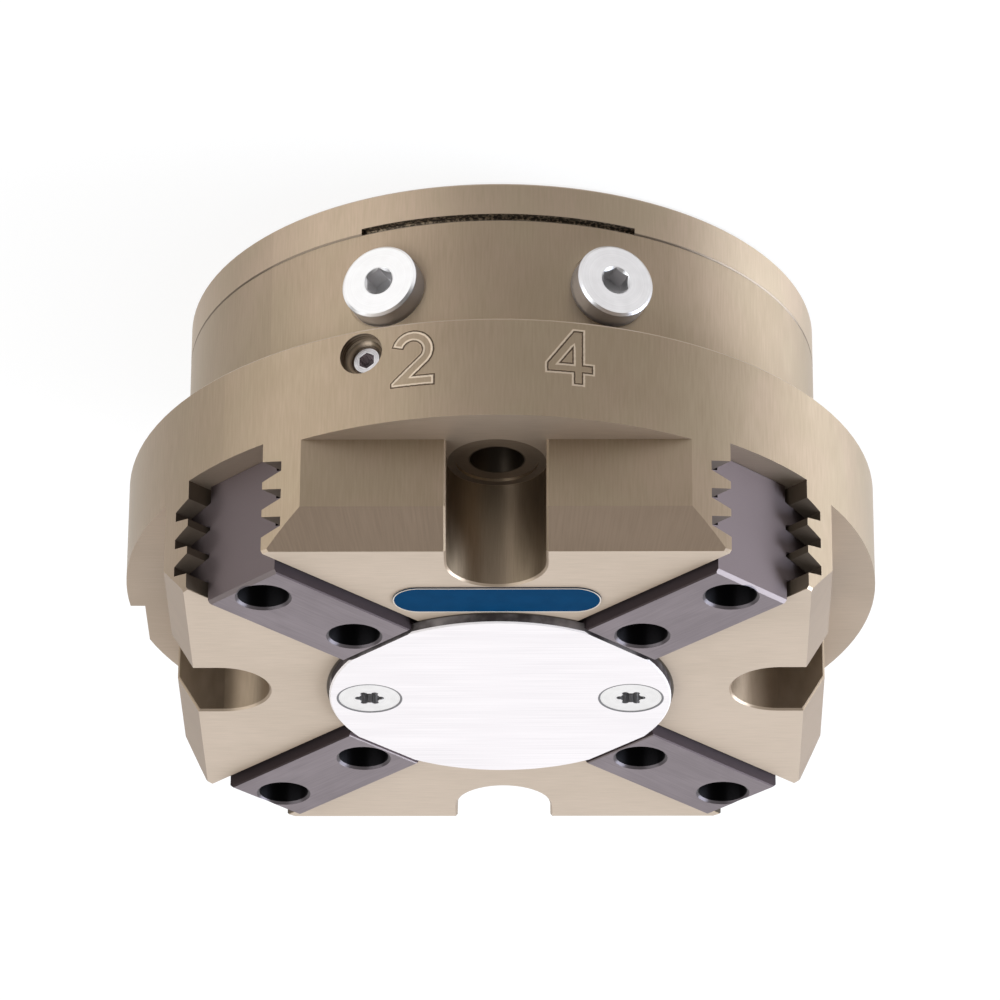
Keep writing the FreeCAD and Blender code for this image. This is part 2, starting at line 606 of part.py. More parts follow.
def build_set_screw():
    """Set screw that closes the purge port."""
    screw = turned([
        (0, -SET_SCREW_LENGTH), (SET_SCREW_RADIUS, -SET_SCREW_LENGTH), (SET_SCREW_RADIUS, -SET_SCREW_RIM),
        (SET_SCREW_RADIUS - SET_SCREW_RIM, 0), (0, 0),
    ])
    screw = screw.cut(hexagon(SET_SCREW_HEX, -SET_SCREW_HEX_DEPTH, 1))
    return lay_radial(screw, FLANGE_RADIUS - SET_SCREW_SEAT, PURGE_Z, PURGE_ANGLE)


def build_direct_port_screws():
    """Two set screws that close the hose-free air holes in the mounting face."""
    screw = post(DIRECT_SCREW_RADIUS, DIRECT_SCREW_SEAT, DIRECT_SCREW_SEAT + DIRECT_SCREW_LENGTH)
    screw = screw.cut(hexagon(DIRECT_SCREW_HEX, 0, DIRECT_SCREW_SEAT + DIRECT_SCREW_HEX_DEPTH))
    screw.translate(V(DIRECT_PORT_CIRCLE, 0, 0))
    return Part.makeCompound([spun(screw, angle) for angle in PORT_ANGLES.values()])


def build_rod_guide_bush():
    """Plain bush that guides the piston rod."""
    return ring(ROD_RADIUS + RUNNING_FIT, ROD_RADIUS + BUSH_WALL, POCKET_Z - BUSH_LENGTH, POCKET_Z)


def build_rod_seal():
    """Lip seal round the piston rod."""
    seal_z = CHAMBER_TOP_Z + ROD_SEAL_GAP
    return rounded_ring(ROD_RADIUS + RUNNING_FIT, ROD_RADIUS + ROD_SEAL_WALL, seal_z,
                        seal_z + ROD_SEAL_HEIGHT, 0.4)


def build_piston():
    """Piston and rod in one turned piece."""
    radius = BORE_RADIUS - PISTON_SIDE_CLEARANCE
    seal_z = PISTON_Z + PISTON_SEAL_OFFSET
    guide_z = PISTON_Z + GUIDE_RING_OFFSET
    body = turned([
        (0, PISTON_Z), (radius - PISTON_CHAMFER, PISTON_Z), (radius, PISTON_Z + PISTON_CHAMFER),
        (radius, seal_z), (radius - PISTON_SEAL_DEPTH, seal_z),
        (radius - PISTON_SEAL_DEPTH, seal_z + PISTON_SEAL_HEIGHT), (radius, seal_z + PISTON_SEAL_HEIGHT),
        (radius, guide_z), (radius - GUIDE_RING_DEPTH, guide_z),
        (radius - GUIDE_RING_DEPTH, guide_z + GUIDE_RING_HEIGHT), (radius, guide_z + GUIDE_RING_HEIGHT),
        (radius, PISTON_TOP_Z), (ROD_RADIUS, PISTON_TOP_Z), (ROD_RADIUS, HOOK_BOTTOM_Z),
        (ROD_SPIGOT_RADIUS, HOOK_BOTTOM_Z), (ROD_SPIGOT_RADIUS, ROD_TOP_Z), (0, ROD_TOP_Z),
    ])
    return body.cut(post(PISTON_SCREW_RADIUS, SCREW_SEAT_Z - PISTON_SCREW_LENGTH - 2, ROD_TOP_Z + 1))


def build_piston_seal():
    """Lip seal of the piston."""
    seal_z = PISTON_Z + PISTON_SEAL_OFFSET
    inner = BORE_RADIUS - PISTON_SIDE_CLEARANCE - PISTON_SEAL_DEPTH
    return rounded_ring(inner, BORE_RADIUS - RUNNING_FIT, seal_z, seal_z + PISTON_SEAL_HEIGHT, 0.5)


def build_piston_guide_ring():
    """Guide band of the piston."""
    guide_z = PISTON_Z + GUIDE_RING_OFFSET
    inner = BORE_RADIUS - PISTON_SIDE_CLEARANCE - GUIDE_RING_DEPTH
    return ring(inner, BORE_RADIUS - RUNNING_FIT, guide_z, guide_z + GUIDE_RING_HEIGHT)


def build_wedge_hook():
    """Cross-shaped wedge with four leaning T-ribs that pull and push the jaws."""
    foot = wedge_radius(HOOK_BOTTOM_Z) - HOOK_CLEARANCE
    crown = wedge_radius(HOOK_TOP_Z) - HOOK_CLEARANCE
    arm = side_prism([(0, HOOK_BOTTOM_Z), (foot, HOOK_BOTTOM_Z), (crown, HOOK_TOP_Z), (0, HOOK_TOP_Z)],
                     -WEDGE_HALF_WIDTH, WEDGE_HALF_WIDTH)
    rib = plan_prism(hook_section(HOOK_BOTTOM_Z, HOOK_CLEARANCE), HOOK_BOTTOM_Z, HOOK_TOP_Z, -WEDGE_SLOPE)
    body = joined(around(arm, 4) + around(rib, 4))
    cuts = [
        post(ROD_SPIGOT_RADIUS + SEAT_CLEARANCE, HOOK_BOTTOM_Z - 1, ROD_TOP_Z + HOOK_CLEARANCE),
        post(PISTON_SCREW_RADIUS + SCREW_HOLE_CLEARANCE, HOOK_BOTTOM_Z, HOOK_TOP_Z),
        post(PISTON_SCREW_BORE_RADIUS, SCREW_SEAT_Z, HOOK_TOP_Z + 1),
    ]
    return body.cut(cuts)


def build_piston_screw():
    """Socket-head screw that ties the wedge hook to the piston rod."""
    top = SCREW_SEAT_Z + PISTON_SCREW_HEAD_HEIGHT
    screw = post(PISTON_SCREW_HEAD_RADIUS, SCREW_SEAT_Z, top).fuse(
        post(PISTON_SCREW_RADIUS, SCREW_SEAT_Z - PISTON_SCREW_LENGTH, SCREW_SEAT_Z))
    return screw.removeSplitter().cut(hexagon(PISTON_SCREW_HEX, top - PISTON_SCREW_HEX_DEPTH, top + 1))


def build_base_jaw():
    """Base jaw along +X: toothed slide, proud mounting pad, leaning T-slot in the tail."""
    tip = GUIDE_HALF_WIDTH + GROOVE_DEPTH - TOOTH_TIP_CLEARANCE
    slide = cross_section_prism(
        toothed_section(JAW_HALF_WIDTH, JAW_BOTTOM_Z, TAIL_TOP_Z, tip, SLIDE_CLEARANCE),
        JAW_TEETH_INNER_END, JAW_OUTER_END)
    tail = box(JAW_TAIL_END, JAW_TEETH_INNER_END, -JAW_HALF_WIDTH, JAW_HALF_WIDTH, JAW_BOTTOM_Z, TAIL_TOP_Z)
    pad = box(JAW_TOP_INNER_END, JAW_OUTER_END, -JAW_HALF_WIDTH, JAW_HALF_WIDTH, TAIL_TOP_Z, JAW_TOP_Z)
    body = joined([slide, tail, pad])

    # Broken edges round the pad
    length = JAW_OUTER_END - JAW_TOP_INNER_END
    middle = (JAW_OUTER_END + JAW_TOP_INNER_END) / 2
    cuts = edge_breaks(middle, length / 2, JAW_HALF_WIDTH, JAW_TOP_Z, JAW_END_BREAK, JAW_SIDE_BREAK)

    # Leaning inner face and T-slot for the wedge hook
    low = JAW_BOTTOM_Z - 1
    high = FACE_Z + 1
    front = side_prism([(0, low), (wedge_radius(low), low), (wedge_radius(high), high), (0, high)],
                       -JAW_HALF_WIDTH - 1, JAW_HALF_WIDTH + 1)
    slot = plan_prism(hook_section(low, 0.0), low, high, -WEDGE_SLOPE)
    cuts += [front, slot]

    # Two seats for centring sleeves, each with a threaded hole below
    for radius in (JAW_HOLE_INNER, JAW_HOLE_OUTER):
        cuts.append(post(JAW_SEAT_RADIUS, JAW_TOP_Z - JAW_SEAT_DEPTH, JAW_TOP_Z + 1, radius))
        cuts.append(post(JAW_THREAD_RADIUS, JAW_TOP_Z - JAW_THREAD_DEPTH, JAW_TOP_Z, radius))
        cuts.append(Part.makeCone(JAW_SEAT_RADIUS, JAW_SEAT_RADIUS + 2, 2,
                                  V(radius, 0, JAW_TOP_Z - JAW_SEAT_CHAMFER)))
    return body.cut(cuts)


nodes = {
    "housing": build_housing(),
    "cylinder_cover": build_cylinder_cover(),
    "cover_screws": build_cover_screws(),
    "cover_o_ring": build_cover_o_ring(),
    "centre_cover": build_centre_cover(),
    "centre_cover_screws": build_centre_cover_screws(),
    "air_plug_a": build_air_plug(PORT_ANGLES["a"]),
    "air_plug_b": build_air_plug(PORT_ANGLES["b"]),
    "air_plug_seals": build_air_plug_seals(),
    "set_screw": build_set_screw(),
    "direct_port_screws": build_direct_port_screws(),
    "rod_guide_bush": build_rod_guide_bush(),
    "rod_seal": build_rod_seal(),
    "piston": build_piston(),
    "piston_seal": build_piston_seal(),
    "piston_guide_ring": build_piston_guide_ring(),
    "wedge_hook": build_wedge_hook(),
    "piston_screw": build_piston_screw(),
}
jaw = build_base_jaw()
for number in range(4):
    nodes["base_jaw_%d" % (number + 1)] = spun(jaw, 90.0 * number)

for name, shape in nodes.items():
    shape.exportStep("parts/%s.step" % name)
    print(name, len(shape.Solids), round(shape.Volume, 1), shape.isValid())
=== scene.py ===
import logging
import math
from dataclasses import dataclass
from enum import Enum
from functools import cached_property
from typing import Sequence

import bmesh
import bpy
import numpy as np
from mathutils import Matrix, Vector


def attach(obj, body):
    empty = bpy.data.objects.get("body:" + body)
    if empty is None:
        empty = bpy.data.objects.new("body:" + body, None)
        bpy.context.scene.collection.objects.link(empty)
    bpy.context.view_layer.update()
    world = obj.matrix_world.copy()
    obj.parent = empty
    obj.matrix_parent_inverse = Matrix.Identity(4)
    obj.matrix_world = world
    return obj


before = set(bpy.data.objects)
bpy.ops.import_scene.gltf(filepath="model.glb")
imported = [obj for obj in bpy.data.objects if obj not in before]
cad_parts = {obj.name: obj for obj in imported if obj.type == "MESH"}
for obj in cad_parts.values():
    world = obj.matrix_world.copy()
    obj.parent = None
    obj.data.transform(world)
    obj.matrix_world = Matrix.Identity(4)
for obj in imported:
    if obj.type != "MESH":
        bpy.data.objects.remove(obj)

# Looks of a four-finger centric gripper that stands on its mounting face with the jaws up.
# Lengths are in millimetres, apart from those of the lamps and the camera's clip, which are in metres.
# Angles are in degrees.

LOG = logging.getLogger("gripper")
MM = 0.001
DIAGONAL = math.sqrt(0.5)
ORIGIN = (0.0, 0.0, 0.0)
TOOL_AXIS = (0.0, 0.0, 1.0)

# Places on the part. The front is the side of the air ports, and turns are counted from it.
FRONT_ANGLE = -45.0
FLANGE_RADIUS = 75.0
WALL_RADIUS = 70.0
LEDGE = 57.75
JAW_FACE = 79.6
JAW_TOP = 81.6
JAW_HOLES = (39.7, 63.7)
PURGE_TURN = -20.3
PURGE_LEVEL = 41.9
DISC_SCREW_CIRCLE = 26.0
DISC_SCREW_HEAD = 6.2
DISC_SCREW_ANGLES = (45.0, 225.0)

# How far a surface faces a direction, from 0 for not at all to 1 for fully.
FACING_UP = (0.75, 0.9)
FACING_ASIDE = 0.4
ASIDE_SOFT = 0.2
EDGE_OFF = 0.03
EDGE_SOFT = 0.05

# Shader values that several finishes share.
BARE_METAL = 0.95
LOW_SPECULAR = 0.12

Socket = bpy.types.NodeSocket
Number = float | Socket
Colour = tuple[float, float, float]
Point = tuple[float, float, float]


class Grain(Enum):
    """Ways in which machining marks run over a surface."""

    UPRIGHT = "along the tool axis, and across the front on level faces"
    ALONG_JAW = "along the slide of each jaw"
    ACROSS = "straight across the front"


class Digit(Enum):
    """Plain numerals that mark the two air ports."""

    TWO = 2
    FOUR = 4


def radial(angle: float) -> Vector:
    """Unit vector in the ground plane, at an angle from +X in degrees."""
    return Vector((math.cos(math.radians(angle)), math.sin(math.radians(angle)), 0.0))


def from_front(turn: float) -> float:
    """Angle from +X of a direction that is turned to the right, as the camera sees it, from the front."""
    return FRONT_ANGLE - turn


def spoke(turn: float) -> Point:
    """Unit vector, as three numbers, that points from the tool axis at a turn from the front."""
    return tuple(radial(from_front(turn)))


def opaque(value: object) -> object:
    """A plain colour with full alpha, or any other value as it is."""
    return (*value, 1.0) if isinstance(value, tuple) and len(value) == 3 else value


class Graph:
    """Node tree of a material or a sky, built by short calls that hand on output sockets."""

    def __init__(self, owner: bpy.types.Material | bpy.types.World) -> None:
        """Starts with an empty node tree.

        Args:
            owner: New material or sky that has the tree.
        """
        owner.use_nodes = True
        self.owner = owner
        self.tree = owner.node_tree
        self.tree.nodes.clear()

    @classmethod
    def of_material(cls, name: str) -> "Graph":
        """Node tree of a new material."""
        return cls(bpy.data.materials.new(name))

    def node(self, kind: str, **settings: object) -> bpy.types.Node:
        """Adds a node.

        Args:
            kind: Node type without its common prefix.
            settings: Properties of the node.

        Returns:
            The new node.
        """
        made = self.tree.nodes.new("ShaderNode" + kind)
        for key, value in settings.items():
            setattr(made, key, value)
        return made

    def feed(self, target: Socket, value: object) -> None:
        """Links a socket to the target, or writes a plain value into it.

        Args:
            target: Input of a node.
            value: Output of another node, or a plain value.
        """
        if isinstance(value, Socket):
            self.tree.links.new(value, target)
        else:
            target.default_value = value

    def run(self, kind: str, feeds: dict[int | str, object], output: int | str = 0,
            **settings: object) -> Socket:
        """Adds a node and feeds it.

        Args:
            kind: Node type without its common prefix.
            feeds: Sockets or plain values, by the number or the name of the input.
            output: Number or name of the output that is wanted.
            settings: Properties of the node.

        Returns:
            The wanted output.
        """
        made = self.node(kind, **settings)
        for key, value in feeds.items():
            self.feed(made.inputs[key], value)
        return made.outputs[output]

    def maths(self, operation: str, *terms: Number, clamp: bool = False) -> Socket:
        """One step of arithmetic, kept between 0 and 1 where clamp is set."""
        return self.run("Math", dict(enumerate(terms)), operation=operation, use_clamp=clamp)

    def join(self, x: Number, y: Number, z: Number = 0.0) -> Socket:
        """Vector from three numbers."""
        return self.run("CombineXYZ", {0: x, 1: y, 2: z})

    def split(self, vector: Socket) -> tuple[Socket, Socket, Socket]:
        """The three numbers of a vector.

        Args:
            vector: Vector socket.

        Returns:
            Sockets of its X, Y and Z.
        """
        made = self.node("SeparateXYZ")
        self.feed(made.inputs[0], vector)
        return made.outputs[0], made.outputs[1], made.outputs[2]

    def scaled(self, vector: Socket, factor: float) -> Socket:
        """Vector times a number."""
        return self.run("VectorMath", {0: vector, "Scale": factor}, operation="SCALE")

    def length(self, x: Number, y: Number) -> Socket:
        """Length of a flat vector, the square root of the sum of its squares."""
        squares = [self.maths("MULTIPLY", part, part) for part in (x, y)]
        return self.maths("SQRT", self.maths("ADD", *squares))

    def noise(self, vector: Socket, detail: float = 2.0, distortion: float = 0.0) -> Socket:
        """Cloud noise over a vector that is already scaled, from about 0.2 to 0.8."""
        feeds = {"Vector": vector, "Scale": 1.0, "Detail": detail, "Distortion": distortion}
        return self.run("TexNoise", feeds)

    def step(self, value: Socket, low: float, high: float) -> Socket:
        """Smooth step from 0 at low to 1 at high."""
        feeds = {"Value": value, "From Min": low, "From Max": high}
        return self.run("MapRange", feeds, interpolation_type="SMOOTHSTEP")

    def below(self, value: Socket, limit: float, soft: float) -> Socket:
        """1 under the limit, 0 above it, with a soft flank of the given width."""
        return self.maths("SUBTRACT", 1.0, self.step(value, limit, limit + soft))

    def band(self, value: Socket, low: float, high: float, soft: float) -> Socket:
        """1 between low and high, 0 outside, with soft flanks of the given width."""
        return self.maths("MULTIPLY", self.step(value, low - soft, low), self.below(value, high, soft))

    def both(self, *masks: Socket) -> Socket:
        """Product of masks.

        Args:
            masks: Two or more masks.

        Returns:
            Mask of the places that all of them share.
        """
        result = masks[0]
        for mask in masks[1:]:
            result = self.maths("MULTIPLY", result, mask)
        return result

    def blend(self, *parts: tuple[Socket, float]) -> Socket:
        """Weighted sum.

        Args:
            parts: Values, each with its weight.

        Returns:
            Sum of value times weight.
        """
        *others, (value, weight) = parts
        result = self.maths("MULTIPLY", value, weight)
        for value, weight in reversed(others):
            result = self.maths("MULTIPLY_ADD", value, weight, result)
        return result

    def uneven(self, value: Socket, middle: float, swing: float) -> Socket:
        """Number about a middle, which follows a value from 0 to 1 by the given swing."""
        return self.maths("MULTIPLY_ADD", value, swing, middle - swing / 2)

    def mix(self, factor: Number, first: Number, second: Number) -> Socket:
        """Number between two numbers."""
        return self.run("Mix", {0: factor, 2: first, 3: second}, data_type="FLOAT")

    def tint(self, factor: Number, first: Colour | Socket, second: Colour | Socket) -> Socket:
        """Colour between two colours."""
        return self.run("Mix", {0: factor, 6: opaque(first), 7: opaque(second)}, 2, data_type="RGBA")

    def bump(self, height: Socket, depth: float, strength: float = 1.0) -> Socket:
        """Normal bent by a height from 0 to 1 that stands for a depth in millimetres."""
        return self.run("Bump", {"Strength": strength, "Distance": depth * MM, "Height": height}, "Normal")

    def surface(self, **values: object) -> bpy.types.Material:
        """Closes the tree with the main shader.

        Args:
            values: Sockets of the shader, with an underscore for each space in their names.

        Returns:
            The finished material.
        """
        feeds = {key.replace("_", " "): opaque(value) for key, value in values.items()}
        shader = self.run("BsdfPrincipled", feeds)
        self.feed(self.node("OutputMaterial").inputs["Surface"], shader)
        return self.owner


class Place:
    """Where the shaded point is, in millimetres, and how steep its surface is."""

    def __init__(self, graph: Graph) -> None:
        """Adds the coordinate nodes.

        Args:
            graph: Node tree that gets them.
        """
        found = graph.node("TexCoord")
        self.graph = graph
        self.point = graph.scaled(found.outputs["Object"], 1.0 / MM)
        self.x, self.y, self.z = graph.split(self.point)
        self.facing = [graph.maths("ABSOLUTE", part) for part in graph.split(found.outputs["Normal"])]
        self.level = self.facing[2]

    @cached_property
    def is_level(self) -> Socket:
        """1 on level faces, 0 on walls and leaning faces."""
        return self.graph.step(self.level, *FACING_UP)

    @cached_property
    def is_edge(self) -> Socket:
        """1 on edges broken at 45 degrees, 0 elsewhere."""
        off = self.graph.maths("ABSOLUTE", self.graph.maths("SUBTRACT", self.level, DIAGONAL))
        return self.graph.below(off, EDGE_OFF, EDGE_SOFT)

    @cached_property
    def unsigned(self) -> tuple[Socket, Socket]:
        """Distances along X and Y, on either side of the tool axis."""
        return self.graph.maths("ABSOLUTE", self.x), self.graph.maths("ABSOLUTE", self.y)

    @cached_property
    def on_y_jaws(self) -> Socket:
        """1 where the nearest jaw slides along Y, 0 where it slides along X."""
        wide, deep = self.unsigned
        return self.graph.maths("GREATER_THAN", deep, wide)

    def aside(self, facing: Socket) -> Socket:
        """1 where the surface is turned away from a direction, 0 where it faces it."""
        return self.graph.below(facing, FACING_ASIDE, ASIDE_SOFT)

    def wall_arc(self) -> Socket:
        """Length of arc round the tool axis, on a middle radius of the walls."""
        return self.graph.maths("MULTIPLY", self.graph.maths("ARCTAN2", self.y, self.x), WALL_RADIUS)

    def across_front(self) -> tuple[Socket, Socket]:
        """Distances to the right of the front and away from it."""
        sums = [self.graph.maths(kind, self.x, self.y) for kind in ("ADD", "SUBTRACT")]
        return tuple(self.graph.maths("MULTIPLY", part, DIAGONAL) for part in sums)

    def clouds(self, size: float, detail: float = 3.0, distortion: float = 0.0) -> Socket:
        """Noise with clouds of the given size."""
        return self.graph.noise(self.graph.scaled(self.point, 1.0 / size), detail, distortion)

    def from_axis(self, centre: Sequence[float], axis: Sequence[float]) -> tuple[Socket, Socket]:
        """Distances from an axis and along it, as the length of a cross product and as a dot product.

        Args:
            centre: Point on the axis.
            axis: Unit vector along it.

        Returns:
            Distance from the axis, and distance along it.
        """
        g = self.graph
        offset = g.run("VectorMath", {0: self.point, 1: centre}, operation="SUBTRACT")
        cross = g.run("VectorMath", {0: offset, 1: axis}, operation="CROSS_PRODUCT")
        along = g.run("VectorMath", {0: offset, 1: axis}, "Value", operation="DOT_PRODUCT")
        return g.run("VectorMath", {0: cross}, "Value", operation="LENGTH"), along

    def jaw_frame(self) -> tuple[Socket, Socket, Socket, Socket]:
        """The shaded point as the nearest jaw sees it.

        Returns:
            Distances along and across the slide, and how far the surface faces along and across it.
        """
        g = self.graph
        x_facing, y_facing, _ = self.facing
        along, across = g.maths("MAXIMUM", *self.unsigned), g.maths("MINIMUM", *self.unsigned)
        along_facing = g.mix(self.on_y_jaws, x_facing, y_facing)
        across_facing = g.mix(self.on_y_jaws, y_facing, x_facing)
        return along, across, along_facing, across_facing

    def lay(self) -> Socket:
        """Direction in which the gloss spreads: up on the walls, across the front on level faces."""
        flat = self.graph.maths("MULTIPLY", self.is_level, DIAGONAL)
        return self.graph.join(flat, flat, self.graph.maths("SUBTRACT", 1.0, self.is_level))

    def marks(self, grain: Grain, fine: float, long: float) -> Socket:
        """Coordinates that are stretched along the machining marks.

        Args:
            grain: Which way the marks run.
            fine: Width of one mark.
            long: Length of one mark.

        Returns:
            Vector socket, in widths and lengths of a mark.
        """
        g = self.graph
        if grain is Grain.ALONG_JAW:
            across = g.mix(self.on_y_jaws, self.y, self.x)
            along = g.mix(self.on_y_jaws, self.x, self.y)
            rise = g.maths("DIVIDE", self.z, fine)
            return g.join(g.maths("DIVIDE", across, fine), g.maths("DIVIDE", along, long), rise)
        side, depth = self.across_front()
        if grain is Grain.ACROSS:
            return g.join(g.maths("DIVIDE", side, long), g.maths("DIVIDE", depth, fine))
        across = g.mix(self.is_level, self.wall_arc(), depth)
        along = g.mix(self.is_level, self.z, side)
        return g.join(g.maths("DIVIDE", across, fine), g.maths("DIVIDE", along, long), self.is_level)


@dataclass(frozen=True)
class SatinBody:
    """Satin plated aluminium: turned walls with upright marks, matt milled faces and facets, and painted
    shade in its hollows, bores and gaps.
    """

    name: str = "satin_body"
    wall_light: Colour = (0.445, 0.350, 0.243)
    wall_rose: Colour = (0.462, 0.348, 0.252)
    wall_dark: Colour = (0.36, 0.274, 0.184)
    face_light: Colour = (0.558, 0.447, 0.35)
    face_dark: Colour = (0.476, 0.379, 0.29)
    facet_light: Colour = (0.35, 0.256, 0.183)
    facet_dark: Colour = (0.28, 0.204, 0.144)
    edge: Colour = (0.46, 0.36, 0.268)
    # Colours of painted shade in bores, gaps, the relief slot, guideways, notches and bolt seats, where shade
    # falls.
    bore_shade: Colour = (0.10, 0.078, 0.058)
    guide_shade: Colour = (0.058, 0.043, 0.033)
    pocket_shade_light: Colour = (0.19, 0.14, 0.098)
    pocket_shade_dark: Colour = (0.115, 0.082, 0.057)

    # Sizes of the places that have a tone of their own: the facets, and the bores, notches, guideways, gaps
    # and relief slot that get painted shade.
    bolt_circle: float = 55.5
    bolt_bore: float = 5.6
    notch: float = 9.75
    guide: float = 15.5
    guide_floor: float = 56.0
    tooth_facing: float = 0.975
    facet_facing: tuple[float, float] = (0.4, 0.6)
    facet_foot: float = 72.1
    purge_bore: float = 4.5
    purge_bottom: float = 61.0
    purge_pitch: float = 0.8
    disc: float = 34.0
    disc_gap: float = 0.45
    joint_line: float = 8.3
    joint_half: float = 0.25
    slot_rim: float = 63.2
    slot: tuple[float, float] = (6.9, 8.1)

    # Strength of their painted shade.
    notch_shade_share: float = 0.4
    seat_shade_share: float = 0.75
    guide_shade_share: float = 0.8
    joint_shade_share: float = 0.6
    ring_middle: float = 0.34
    ring_swing: float = 0.32

    # Gloss.
    roughness: float = 0.52
    edge_roughness: float = 0.42
    spread: float = 0.85
    film: float = 0.2
    film_roughness: float = 0.3
    face_gloss: float = 0.1
    ledge_gloss: float = 0.65
    guide_gloss: float = 0.1

    def bolt_masks(self, place: Place) -> tuple[Socket, Socket]:
        """Masks of painted shade in the four bolt bores and on the notches above them, which repeat in each
        quarter.

        Args:
            place: Coordinates of the shaded point.

        Returns:
            Mask of painted shade in the bores, and mask of painted shade on the notch walls and bolt seats.
        """
        g = place.graph
        sums = [g.maths(kind, *place.unsigned) for kind in ("ADD", "SUBTRACT")]
        out, side = [g.maths("MULTIPLY", part, DIAGONAL) for part in sums]
        out, side = g.maths("SUBTRACT", out, self.bolt_circle), g.maths("ABSOLUTE", side)
        away = g.length(out, side)
        bores = g.below(away, self.bolt_bore - 0.2, soft=0.2)
        from_slot = g.length(g.maths("MINIMUM", out, 0.0), side)
        above_ledge = g.step(place.z, LEDGE + 0.01, LEDGE + 0.11)
        walls = g.both(g.below(from_slot, self.notch, soft=0.1), place.aside(place.level), above_ledge)
        on_ledge = g.below(place.z, LEDGE + 0.25, soft=0.1)
        seats = g.both(g.below(away, self.notch - 0.3, soft=0.2), place.is_level, on_ledge)
        walls = g.maths("MULTIPLY", walls, self.notch_shade_share)
        return bores, g.maths("MAXIMUM", walls, g.maths("MULTIPLY", seats, self.seat_shade_share))

    def guide_mask(self, place: Place) -> Socket:
        """Mask of painted shade in the toothed guideways, without the outer wall that they open into.

        Args:
            place: Coordinates of the shaded point.

        Returns:
            Mask of their flanks and the slopes of their teeth.
        """
        g = place.graph
        _, across, along_facing, _ = place.jaw_frame()
        inside = g.band(place.z, self.guide_floor, JAW_FACE - 0.3, soft=0.2)
        flanks = g.both(place.aside(along_facing), g.below(place.level, self.tooth_facing, soft=0.015))
        return g.both(inside, g.below(across, self.guide, soft=0.1), flanks)

    def facet_mask(self, place: Place) -> Socket:
        """Mask of the leaning facets above the four flats."""
        high = place.graph.step(place.z, self.facet_foot - 0.3, self.facet_foot)
        return place.graph.both(place.graph.band(place.level, *self.facet_facing, soft=0.05), high)

    def purge_rings(self, place: Place) -> Socket:
        """Mask of painted shade in the purge hole: a sine along its axis gives rings of painted shade like
        the turns of its thread.

        Args:
            place: Coordinates of the shaded point.

        Returns:
            Mask whose strength rises and falls once in each pitch.
        """
        g = place.graph
        away, along = place.from_axis((0.0, 0.0, PURGE_LEVEL), spoke(PURGE_TURN))
        turns = g.maths("SINE", g.maths("MULTIPLY", along, 2 * math.pi / self.purge_pitch))
        deep = g.step(along, self.purge_bottom - 1.0, self.purge_bottom)
        inside = g.both(g.below(away, self.purge_bore - 0.12, soft=0.1), deep)
        return g.both(inside, g.maths("MULTIPLY_ADD", turns, self.ring_swing, self.ring_middle))

    def seams(self, place: Place, from_middle: Socket) -> Socket:
        """Mask of painted shade in the gap round the centre cover and, fainter, in the joint at the cylinder
        cover.

        Args:
            place: Coordinates of the shaded point.
            from_middle: Distance from the tool axis.

        Returns:
            Mask of both lines.
        """
        g = place.graph
        gap = g.band(from_middle, self.disc, self.disc + self.disc_gap, soft=0.15)
        gap = g.both(gap, g.step(place.z, JAW_FACE - 0.2, JAW_FACE - 0.1))
        low, high = self.joint_line - self.joint_half, self.joint_line + self.joint_half
        joint = g.band(place.z, low, high, soft=0.08)
        return g.maths("MAXIMUM", gap, g.maths("MULTIPLY", joint, self.joint_shade_share))

    def outside(self, place: Place, tone: Socket, facets: Socket) -> Socket:
        """Colour of walls, level faces, facets and broken edges, with a rosy drift of 22 mm on the walls.

        Args:
            place: Coordinates of the shaded point.
            tone: Share of the light colour in each pair.
            facets: Mask of the leaning facets.

        Returns:
            Colour socket.
        """
        g = place.graph
        drift = g.step(place.clouds(22.0, detail=2.0, distortion=0.8), low=0.35, high=0.65)
        wall = g.tint(tone, self.wall_dark, g.tint(drift, self.wall_light, self.wall_rose))
        colour = g.tint(place.is_level, wall, g.tint(tone, self.face_dark, self.face_light))
        colour = g.tint(facets, colour, g.tint(tone, self.facet_dark, self.facet_light))
        return g.tint(place.is_edge, colour, self.edge)

    def hollows(self, place: Place, colour: Socket, tone: Socket, guide: Socket) -> Socket:
        """Colour with painted shade in notches, guideways and bores, and in the relief slot, broken there by
        a noise of 0.6 mm.

        Args:
            place: Coordinates of the shaded point.
            colour: Colour of the outside.
            tone: Share of the light colour in each pair.
            guide: Mask of the guideways.

        Returns:
            Colour socket.
        """
        g = place.graph
        bores, notches = self.bolt_masks(place)
        from_middle, _ = place.from_axis(ORIGIN, TOOL_AXIS)
        colour = g.tint(notches, colour, g.tint(tone, self.pocket_shade_dark, self.pocket_shade_light))
        colour = g.tint(g.maths("MULTIPLY", guide, self.guide_shade_share), colour, self.guide_shade)
        slot = g.both(g.below(from_middle, self.slot_rim, soft=0.05), g.band(place.z, *self.slot, soft=0.05))
        slot_breakup = g.step(place.clouds(0.6), low=0.47, high=0.62)
        colour = g.tint(slot, colour, g.tint(slot_breakup, self.bore_shade, self.wall_dark))
        colour = g.tint(self.purge_rings(place), colour, self.bore_shade)
        return g.tint(g.maths("MAXIMUM", bores, self.seams(place, from_middle)), colour, self.bore_shade)

